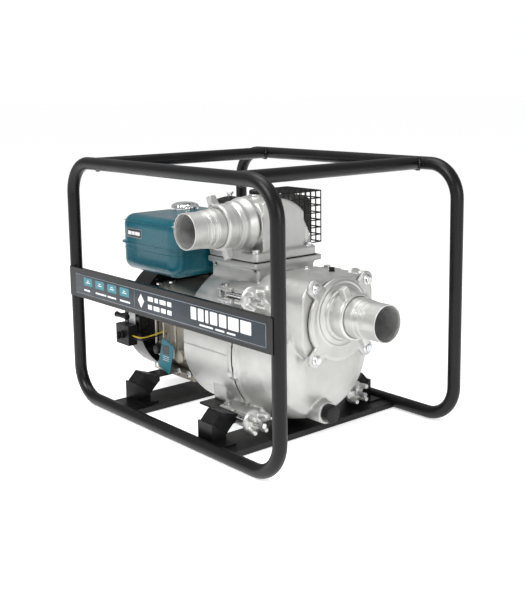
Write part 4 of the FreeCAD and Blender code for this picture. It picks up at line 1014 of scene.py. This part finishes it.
class PUMP_OT_plugs(bpy.types.Operator):
    """Drain plug and priming cap in black plastic, and the flanged bolts of cover and elbow"""
    bl_idname = "pump.plugs"
    bl_label = "Plugs and bolts"

    def execute(self, context):
        low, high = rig.box("drain_plug")
        centre_y, centre_z = (low.y + high.y) / 2, (low.z + high.z) / 2
        seat = high.x - 0.015
        head = plate(polygon_outline(0.0189, 6, 8), 0.015, 0.0016)
        collar = turned(softened([(0, -0.0128), (0.0135, -0.0128), (0.0135, 0), (0.0155, 0.0004),
                                  (0.0155, 0.002),
                                  (0, 0.002)], 0.0006), 48)
        dish = turned(softened([(0, 0.0152), (0.0125, 0.0152), (0.0118, 0.0135), (0, 0.0135)], 0.0006), 48)
        piece("drain_plug_skin", moved(joined(head, collar, dish), (seat, centre_y, centre_z), "+X", 12),
              finish("plastic"), "drain_plug", "black_plug", ["drain_plug"])
        low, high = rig.box("priming_cap")
        centre = ((low.x + high.x) / 2, (low.y + high.y) / 2, high.z)
        cap = softened([(0, -0.022), (0.008, -0.022), (0.008, -0.0088), (0.0135, -0.0086), (0.0137, -0.003),
                        (0.0105, -0.0004), (0, 0)], 0.0012)
        knurl = turned(cap, 96, lambda angle: 1 - 0.018 * (1 + np.cos(24 * angle)))
        piece("priming_cap_skin", moved(knurl, centre), finish("plastic"), "priming_cap", "black_plug",
              ["priming_cap"])
        bolts = [moved(hex_head(), at, "+X") for at in self.cover_spots()]
        bolts += [moved(hex_head(), at, "+Z") for at in self.elbow_spots()]
        piece("flanged_bolts", joined(*bolts), finish("zinc"), "machine", "zinc_steel", ["hex_bolts"])
        low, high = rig.box("front_casing")
        top = high.z
        small = [moved(hex_head(0.0062, 0.0055, 0.0078), (0.112, 0.030, top - 0.0008), "+Z", 20),
                 moved(hex_head(0.0055, 0.005, 0.0068), (0.150, 0.058, top - 0.0008), "+Z", 5)]
        piece("chest_bolts", joined(*small), finish("zinc"), "machine", "zinc_steel")
        stub = joined(moved(rounded_block((0.0042, 0.0042, 0.005), 0.001, 4), (0.168, 0.044, top + 0.003)),
                      moved(turned([(0, 0), (0.0065, 0), (0.0065, 0.0015), (0, 0.0015)], 32),
                            (0.168, 0.044, top - 0.0012)))
        piece("chest_plug", stub, finish("plastic"), "machine", "black_plug")
        return {"FINISHED"}

    def cover_spots(self):
        low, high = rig.box("suction_cover")
        middle = (low.z + high.z) / 2
        face = low.x + 0.0088
        return [(face, y * 0.067, middle + z * 0.067) for y in (-1, 1) for z in (-1, 1)]

    def elbow_spots(self):
        low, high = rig.box("elbow")
        top = low.z + 0.017
        return [(x, y, top) for x in (low.x + 0.015, high.x - 0.013) for y in (-0.070, 0.070)]


# ---------------------------------------------------------------- operators: the engine

class PUMP_OT_engine(bpy.types.Operator):
    """Engine castings, with bolt heads round the cover and foot, ribs and a round boss"""
    bl_idname = "pump.engine"
    bl_label = "Engine block"

    def execute(self, context):
        for name in ("crankcase", "crankcase_cover", "cylinder_barrel", "carburetor"):
            paint(name, finish("engine"))
        paint("valve_cover", finish("gloss_black"))
        paint("spark_plug", finish("plastic"))
        for name in ("crankshaft", "shaft_seal"):
            paint(name, finish("steel"))
        for name in ("impeller", "volute", "flywheel"):
            paint(name, finish("iron"))
        paint("check_valve", finish("rubber"))
        low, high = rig.box("crankcase_cover")
        heads = []
        middle = ((low.y + high.y) / 2, (low.z + high.z) / 2)
        for angle in np.radians([20, 68, 112, 160, 200, 248, 292, 340]):
            spot = (low.x + 0.014, middle[0] + 0.0755 * math.cos(angle), middle[1] + 0.0755 * math.sin(angle))
            heads.append(moved(hex_head(0.0068, 0.0055, 0.0085), spot, "+X"))
        low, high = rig.box("crankcase")
        for x in (-0.238, -0.205, -0.165, -0.128):
            heads.append(moved(hex_head(0.0062, 0.005, 0.0078), (x, low.y + 0.0002, low.z + 0.012), "-Y"))
        piece("engine_bolts", joined(*heads), finish("zinc"), "machine", "zinc_small")
        ribs = [moved(rounded_block((0.0022, 0.0028, 0.046), 0.0018, 4), (x, low.y - 0.0006, low.z + 0.088))
                for x in (-0.246, -0.216, -0.172, -0.138)]
        boss = moved(turned(softened([(0, -0.004), (0.0155, -0.004), (0.0155, 0.004), (0.013, 0.0055),
                                      (0, 0.0055)],
                                     0.001), 48), (-0.158, low.y, low.z + 0.046), "-Y")
        piece("crankcase_ribs", joined(*ribs, boss), finish("engine"), "machine", "engine_casting")
        return {"FINISHED"}


class PUMP_OT_dipstick(bpy.types.Operator):
    """Oil filler plug: a black moulded knob with grips round its head"""
    bl_idname = "pump.dipstick"
    bl_label = "Oil dipstick"

    def execute(self, context):
        low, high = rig.box("dipstick")
        centre = ((low.x + high.x) / 2, low.y, (low.z + high.z) / 2)
        reach = (high.z - low.z) / 2
        head = softened([(0, 0.0), (reach * 0.72, 0), (reach * 0.96, 0.002), (reach * 0.98, 0.009),
                         (reach * 0.7, 0.0105), (0.006, 0.0105), (0.006, high.y - low.y),
                         (0, high.y - low.y)], 0.0012)
        grips = turned(head, 96, lambda angle: 1 - 0.05 * (1 + np.cos(8 * angle)) / 2)
        piece("dipstick_skin", moved(grips, centre, "+Y"), finish("plastic"), "dipstick", "black_plastic",
              ["dipstick"])
        return {"FINISHED"}


class PUMP_OT_blower(bpy.types.Operator):
    """Blower housing and recoil cover in gloss black with a plain sticker"""
    bl_idname = "pump.blower"
    bl_label = "Blower housing"

    def execute(self, context):
        paint("blower_housing", finish("gloss_black"))
        paint("recoil_cover", finish("gloss_black"))
        low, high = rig.box("blower_housing")
        along, rise = (low.x + high.x) / 2, 0.225
        sticker = plate(box_outline(0.0125, 0.017, 0.002), 0.0002, 0.00008, 3)
        piece("blower_sticker", moved(sticker, (along, low.y + 0.0001, rise - 0.05), "-Y"),
              finish("print_white"),
              "machine", "blower_paint")
        return {"FINISHED"}


class PUMP_OT_starter(bpy.types.Operator):
    """Pull handle with swollen ends, and the rope that draws out behind it"""
    bl_idname = "pump.starter"
    bl_label = "Recoil handle and rope"

    def execute(self, context):
        low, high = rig.box("recoil_handle")
        middle = [(low[i] + high[i]) / 2 for i in range(3)]
        half = (high.x - low.x) / 2
        s = np.linspace(-1, 1, 41)
        path = np.stack([middle[0] + s * (half - 0.0006), np.full_like(s, low.y + 0.0072),
                         np.full_like(s, middle[2])], 1)
        radius = 0.0054 + 0.0014 * np.abs(s) ** 3
        radius[0] = radius[-1] = 0.004
        grip = tube(path, radius, 24)
        neck = moved(turned(softened([(0, 0.008), (0.0062, 0.008), (0.0045, high.y - low.y),
                                      (0, high.y - low.y)],
                                     0.0015), 32), (middle[0], low.y, middle[2]), "+Y")
        piece("recoil_handle_skin", joined(grip, neck), finish("plastic"), "recoil_handle", "black_plastic",
              ["recoil_handle"])
        low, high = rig.box("starter_rope")
        x, z = (low.x + high.x) / 2, (low.z + high.z) / 2
        y = np.linspace(low.y, high.y, 160)
        rope = piece("starter_rope_skin",
                     tube(np.stack([np.full_like(y, x), y, np.full_like(y, z)], 1), 0.0019, 16),
                     finish("rope"), None, "rope_nylon", ["starter_rope"])
        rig.blend(rope, "machine", "recoil_handle", (x, high.y, z), (x, low.y, z))
        return {"FINISHED"}


class PUMP_OT_controls(bpy.types.Operator):
    """Control box, switch and levers"""
    bl_idname = "pump.controls"
    bl_label = "Controls"

    def execute(self, context):
        paint("control_box", finish("plastic"))
        low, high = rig.box("engine_switch")
        centre = ((low.x + high.x) / 2, high.y, (low.z + high.z) / 2)
        reach = high.y - low.y
        hub = turned(softened([(0, 0), (0.0084, 0), (0.0084, reach * 0.5), (0.0076, reach * 0.62),
                               (0, reach * 0.62)],
                              0.0008), 48)
        paddle = moved(rounded_block((0.0022, 0.0084, reach * 0.2), 0.0012, 4), (0, 0, reach * 0.799))
        piece("engine_switch_skin", moved(joined(hub, paddle), centre, "-Y"), finish("plastic"),
              "engine_switch",
              "black_plastic", ["engine_switch"])
        for name in ("throttle_lever", "choke_lever", "fuel_lever"):
            paint(name, finish("zinc"))
        return {"FINISHED"}


class PUMP_OT_tank(bpy.types.Operator):
    """Fuel tank: two pressed shells on a seam flange, with ledges on top, a badge and a scalloped cap"""
    bl_idname = "pump.tank"
    bl_label = "Fuel tank and cap"

    def execute(self, context):
        paint("fuel_tank", finish("tank"))
        self.shell_lines()
        self.badge()
        self.cap()
        return {"FINISHED"}

    def shell_lines(self):
        """Two low ridges run round the pressed shells, following the rectangle with round corners."""
        x0, x1 = -0.270, -0.072
        y0, y1 = -0.160, 0.050
        ridges = []
        for level, size in ((0.3500, 0.0013), (0.3405, 0.0008), (0.3985, 0.0007)):
            outline = box_outline((x1 - x0) / 2, (y1 - y0) / 2, 0.024, 8)
            path = np.hstack([outline + [(x0 + x1) / 2, (y0 + y1) / 2], np.full((len(outline), 1), level)])
            ridges.append(tube(path, size, 8, closed=True))
        piece("tank_ridges", joined(*ridges), finish("tank"), "machine", "tank_paint")

    def badge(self):
        """A dark plate with a pale rim and plain bars, on the near face."""
        at, face, level = -0.216, -0.1602, 0.374
        parts = [(box_outline(0.029, 0.0095, 0.0015, 3), 0.0012, "print_grey", 0.0),
                 (box_outline(0.0282, 0.0087, 0.0012, 3), 0.0003, "badge", 0.0010)]
        for number, (outline, depth, look, lift) in enumerate(parts):
            shape = moved(plate(outline, depth, 0.0001, 3), (at, face + 0.0004 - lift, level), "-Y")
            piece(f"tank_badge_{number + 1}", shape, finish(look), "machine", "tank_paint")
        bars = []
        for start, width in ((-0.022, 0.013), (-0.007, 0.010), (0.005, 0.017)):
            bar = plate(box_outline(width / 2, 0.0036, 0.0006, 3), 0.0002, 0.00005, 2)
            bars.append(moved(bar, (at + start + width / 2, face - 0.0008, level), "-Y"))
        piece("tank_badge_bars", joined(*bars), finish("print_white"), "machine", "tank_paint")

    def cap(self):
        low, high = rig.box("fuel_cap")
        centre = ((low.x + high.x) / 2, (low.y + high.y) / 2, low.z)
        radius, height = (high.x - low.x) / 2, high.z - low.z
        profile = softened([(0, 0), (radius * 0.9, 0), (radius * 0.985, 0.002),
                            (radius * 0.985, height * 0.6),
                            (radius * 0.9, height * 0.8), (radius * 0.6, height * 0.93), (0, height)],
                            0.003, 6)
        scallops = turned(profile, 180, lambda angle: 1 - 0.022 * (1 - np.cos(20 * angle)) / 2)
        rim = moved(turned(softened([(0, 0), (radius * 0.995, 0), (radius * 0.995, 0.0022), (0, 0.0022)],
                                    0.0006), 120),
                    (0, 0, 0))
        piece("fuel_cap_skin", moved(joined(scallops, rim), centre), finish("chrome"), "fuel_cap",
              "cap_chrome",
              ["fuel_cap"], crease=60)


class PUMP_OT_muffler(bpy.types.Operator):
    """Muffler in dull steel behind a black wire guard"""
    bl_idname = "pump.muffler"
    bl_label = "Muffler and guard"

    def execute(self, context):
        paint("muffler", finish("muffler"))
        paint("muffler_guard", finish("black_enamel"))
        return {"FINISHED"}


class PUMP_OT_air_cleaner(bpy.types.Operator):
    """Air cleaner: a black drum under a domed lid, held by a wing nut"""
    bl_idname = "pump.air_cleaner"
    bl_label = "Air cleaner"

    def execute(self, context):
        low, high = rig.box("air_cleaner")
        centre = ((low.x + high.x) / 2, (low.y + high.y) / 2, low.z)
        radius, height = (high.x - low.x) / 2, high.z - low.z
        body = softened([(0, 0), (radius * 0.90, 0), (radius * 0.94, 0.004), (radius * 0.94, height * 0.60),
                         (radius * 0.99, height * 0.60), (radius * 0.998, height * 0.64),
                         (radius * 0.985, height * 0.74),
                         (radius * 0.90, height * 0.87), (radius * 0.66, height * 0.90),
                         (radius * 0.62, height * 0.935),
                         (radius * 0.30, height * 0.99), (0.009, height), (0, height)], 0.004, 6)
        paint("air_cleaner", finish("plastic"))
        piece("air_cleaner_skin", moved(turned(body, 120), centre), finish("plastic"), "machine",
              "black_plastic",
              ["air_cleaner"])
        low_nut, high_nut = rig.box("cleaner_nut")
        middle = ((low_nut.x + high_nut.x) / 2, (low_nut.y + high_nut.y) / 2, low_nut.z)
        tall = high_nut.z - low_nut.z
        hub = turned(softened([(0, 0), (0.0068, 0), (0.0052, tall * 0.6), (0, tall * 0.62)], 0.0012), 32)
        s = np.linspace(0, 1, 12)
        wings = []
        for side in (-1, 1):
            path = np.stack([side * (0.004 + 0.0078 * s), np.zeros_like(s),
                             0.0045 + (tall - 0.0068) * s ** 0.8], 1)
            wings.append(tube(path, 0.0021, 12))
        piece("cleaner_nut_skin", moved(joined(hub, *wings), middle), finish("zinc"), "cleaner_nut",
              "zinc_small",
              ["cleaner_nut"])
        return {"FINISHED"}


class PUMP_OT_cords(bpy.types.Operator):
    """Ignition lead, fuel hose and sensor wires as smooth runs through their routed points"""
    bl_idname = "pump.cords"
    bl_label = "Leads and hoses"

    ROUTES = {
        "ignition_lead": (0.0035, "rubber", "wire_plastic", [
            (-145, 193.35, 267.2), (-145, 202.4, 271.45), (-154, 207, 281), (-178, 206, 286),
            (-212, 198, 281),
            (-238, 182, 269), (-243, 156, 259), (-250, 131, 256), (-262, 131, 256)]),
        "fuel_hose": (0.005, "rubber", "hose_rubber", [
            (-242, 30, 292), (-242, 30, 282), (-242, 36, 270), (-242, 50, 264), (-242, 64, 272),
            (-242, 68, 300),
            (-242, 78, 314), (-242, 88, 314)]),
        "sensor_wire": (0.0016, "yellow_wire", "wire_plastic", [
            (-266, -141, 140), (-256, -141, 139), (-246, -130, 136), (-240, -110, 139), (-228, -92, 146),
            (-228, -78, 146)]),
    }

    def execute(self, context):
        for name, (radius, look, slot, route) in self.ROUTES.items():
            self.run(f"{name}_run", np.array(route) / 1000, radius, finish(look), slot, [name])
        beside = np.array(self.ROUTES["sensor_wire"][3]) / 1000 + np.array([0.0, -0.001, -0.0052])
        self.run("sensor_wire_second", beside, 0.0014, finish("plastic"), "wire_plastic", [])
        return {"FINISHED"}

    def run(self, name, route, radius, look, slot, replaced):
        curve = bpy.data.curves.new(name, "CURVE")
        curve.dimensions = "3D"
        curve.bevel_depth = radius
        curve.bevel_resolution = 4
        curve.resolution_u = 16
        curve.use_fill_caps = True
        line = curve.splines.new("NURBS")
        line.points.add(len(route) - 1)
        line.points.foreach_set("co", np.hstack([route, np.ones((len(route), 1))]).ravel())
        line.order_u = 3
        line.use_endpoint_u = True
        curve.materials.append(look)
        thing = bpy.data.objects.new(name, curve)
        bpy.context.scene.collection.objects.link(thing)
        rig.ride(thing, "machine")
        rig.slot(thing, slot)
        if replaced:
            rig.replaces(thing, *replaced)


class PUMP_OT_tag(bpy.types.Operator):
    """Card tag with a dark picture block and pale bars in place of print"""
    bl_idname = "pump.tag"
    bl_label = "Hang tag"

    def execute(self, context):
        paint("hang_tag", finish("tag"))
        low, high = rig.box("hang_tag")
        face = low.y
        top = high.z
        dark = moved(plate(box_outline(0.0125, 0.010, 0.001, 3), 0.0003, 0.0001, 2),
                     ((low.x + high.x) / 2, face + 0.0002, top - 0.030), "-Y")
        piece("tag_picture", dark, finish("badge"), "hang_tag", "tag_plastic")
        bars = [moved(plate(box_outline(0.012, 0.0006, 0.0004, 3), 0.0003, 0.0001, 2),
                      ((low.x + high.x) / 2, face + 0.0002, top - 0.045 - 0.0042 * row),
                      "-Y") for row in range(3)]
        piece("tag_bars", joined(*bars), finish("print_white"), "hang_tag", "tag_plastic")
        return {"FINISHED"}


# ---------------------------------------------------------------- operators: stage

class PUMP_OT_stage(bpy.types.Operator):
    """Pale floor, soft white world, area lights and the camera"""
    bl_idname = "pump.stage"
    bl_label = "Stage, lights and camera"

    def execute(self, context):
        scene = context.scene
        self.floor()
        world = bpy.data.worlds.new("studio")
        world.use_nodes = True
        tree = world.node_tree
        ground = tree.nodes["Background"]
        ground.inputs["Color"].default_value = (1, 1, 1, 1)
        seen, level = tree.nodes.new("ShaderNodeLightPath"), tree.nodes.new("ShaderNodeMapRange")
        level.inputs["To Min"].default_value = 0.42
        level.inputs["To Max"].default_value = 1.0
        tree.links.new(seen.outputs["Is Camera Ray"], level.inputs["Value"])
        tree.links.new(level.outputs["Result"], ground.inputs["Strength"])
        scene.world = world
        scene.view_settings.view_transform = "Standard"
        scene.view_settings.exposure = 0.0
        self.light("key", (0.1, -1.9, 2.0), (0.0, 0.0, 0.25), 0.9, 40)
        self.light("fill", (2.3, -0.2, 1.0), (0.0, 0.0, 0.25), 1.0, 14)
        self.light("top", (-0.3, -0.1, 2.4), (0.0, 0.0, 0.25), 1.5, 26)
        self.camera(scene)
        return {"FINISHED"}

    def floor(self):
        x, y = np.meshgrid([-40.0, 40.0], [-40.0, 40.0])
        points = np.stack([x.ravel(), y.ravel(), np.zeros(4)], 1)
        mesh = bpy.data.meshes.new("floor")
        mesh.from_pydata(points.tolist(), [], [[0, 1, 3, 2]])
        thing = bpy.data.objects.new("floor", mesh)
        bpy.context.scene.collection.objects.link(thing)
        pale = Finish("pale_floor", (0.93, 0.93, 0.93), 0.0, 0.8)
        pale.shader.inputs["Emission Color"].default_value = (1, 1, 1, 1)
        pale.shader.inputs["Emission Strength"].default_value = 0.6
        mesh.materials.append(pale.material)
        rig.stage(thing)

    def light(self, name, place, aim, size, power):
        lamp = bpy.data.lights.new(name, "AREA")
        lamp.shape = "DISK"
        lamp.size = size
        lamp.energy = power
        thing = bpy.data.objects.new(name, lamp)
        bpy.context.scene.collection.objects.link(thing)
        thing.location = place
        away = Vector(place) - Vector(aim)
        thing.rotation_euler = away.to_track_quat("Z", "Y").to_euler()

    def camera(self, scene):
        azimuth, elevation, roll = 0.856883, 0.155729, -0.010929
        back = Vector((math.sin(azimuth) * math.cos(elevation), -math.cos(azimuth) * math.cos(elevation),
                       math.sin(elevation)))
        right = (-back).cross(Vector((0, 0, 1))).normalized()
        up = right.cross(-back)
        across = math.cos(roll) * right + math.sin(roll) * up
        above = -math.sin(roll) * right + math.cos(roll) * up
        lens = bpy.data.cameras.new("camera")
        lens.sensor_width = 36
        lens.lens = 58.63
        lens.shift_x = -0.0244
        lens.shift_y = -0.1
        lens.clip_end = 200
        thing = bpy.data.objects.new("camera", lens)
        scene.collection.objects.link(thing)
        rotation = Matrix((across, above, back)).transposed()
        thing.matrix_world = Matrix.Translation((1.51431, -1.26259, 0.67476)) @ rotation.to_4x4()
        scene.camera = thing


# ---------------------------------------------------------------- add-on

OPERATORS = [PUMP_OT_frame, PUMP_OT_mounts, PUMP_OT_band, PUMP_OT_casings, PUMP_OT_suction_cover,
             PUMP_OT_elbow,
             PUMP_OT_hose_tails, PUMP_OT_nuts, PUMP_OT_clamps, PUMP_OT_plugs, PUMP_OT_engine,
             PUMP_OT_dipstick,
             PUMP_OT_blower, PUMP_OT_starter, PUMP_OT_controls, PUMP_OT_tank, PUMP_OT_muffler,
             PUMP_OT_air_cleaner,
             PUMP_OT_cords, PUMP_OT_tag, PUMP_OT_stage]


class PUMP_PT_looks(bpy.types.Panel):
    """Sizes, colours and every step that builds the looks."""
    bl_idname = "PUMP_PT_looks"
    bl_label = "Trash Pump Looks"
    bl_space_type = "VIEW_3D"
    bl_region_type = "UI"
    bl_category = "Pump"

    def draw(self, context):
        for heading, group in (("Sizes", context.scene.pump_sizes), ("Colours", context.scene.pump_colours)):
            self.layout.label(text=heading)
            for key in type(group).__annotations__:
                self.layout.prop(group, key)
        self.layout.label(text="Pieces")
        for operator in OPERATORS:
            self.layout.operator(operator.bl_idname)


def register():
    for kind in (PumpSizes, PumpColours, *OPERATORS, PUMP_PT_looks):
        bpy.utils.register_class(kind)
    bpy.types.Scene.pump_sizes = bpy.props.PointerProperty(type=PumpSizes)
    bpy.types.Scene.pump_colours = bpy.props.PointerProperty(type=PumpColours)


def unregister():
    del bpy.types.Scene.pump_colours
    del bpy.types.Scene.pump_sizes
    for kind in reversed((PumpSizes, PumpColours, *OPERATORS, PUMP_PT_looks)):
        bpy.utils.unregister_class(kind)


def main():
    register()
    for operator in OPERATORS:
        group, call = operator.bl_idname.split(".")
        getattr(getattr(bpy.ops, group), call)()
    model_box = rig.bounds()
    with open("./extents.json", "w", encoding="utf-8") as out:
        json.dump({"cad": [list(corner) for corner in cad_box],
                   "model": [list(corner) for corner in model_box]}, out)


if __name__ == "__main__":
    main()
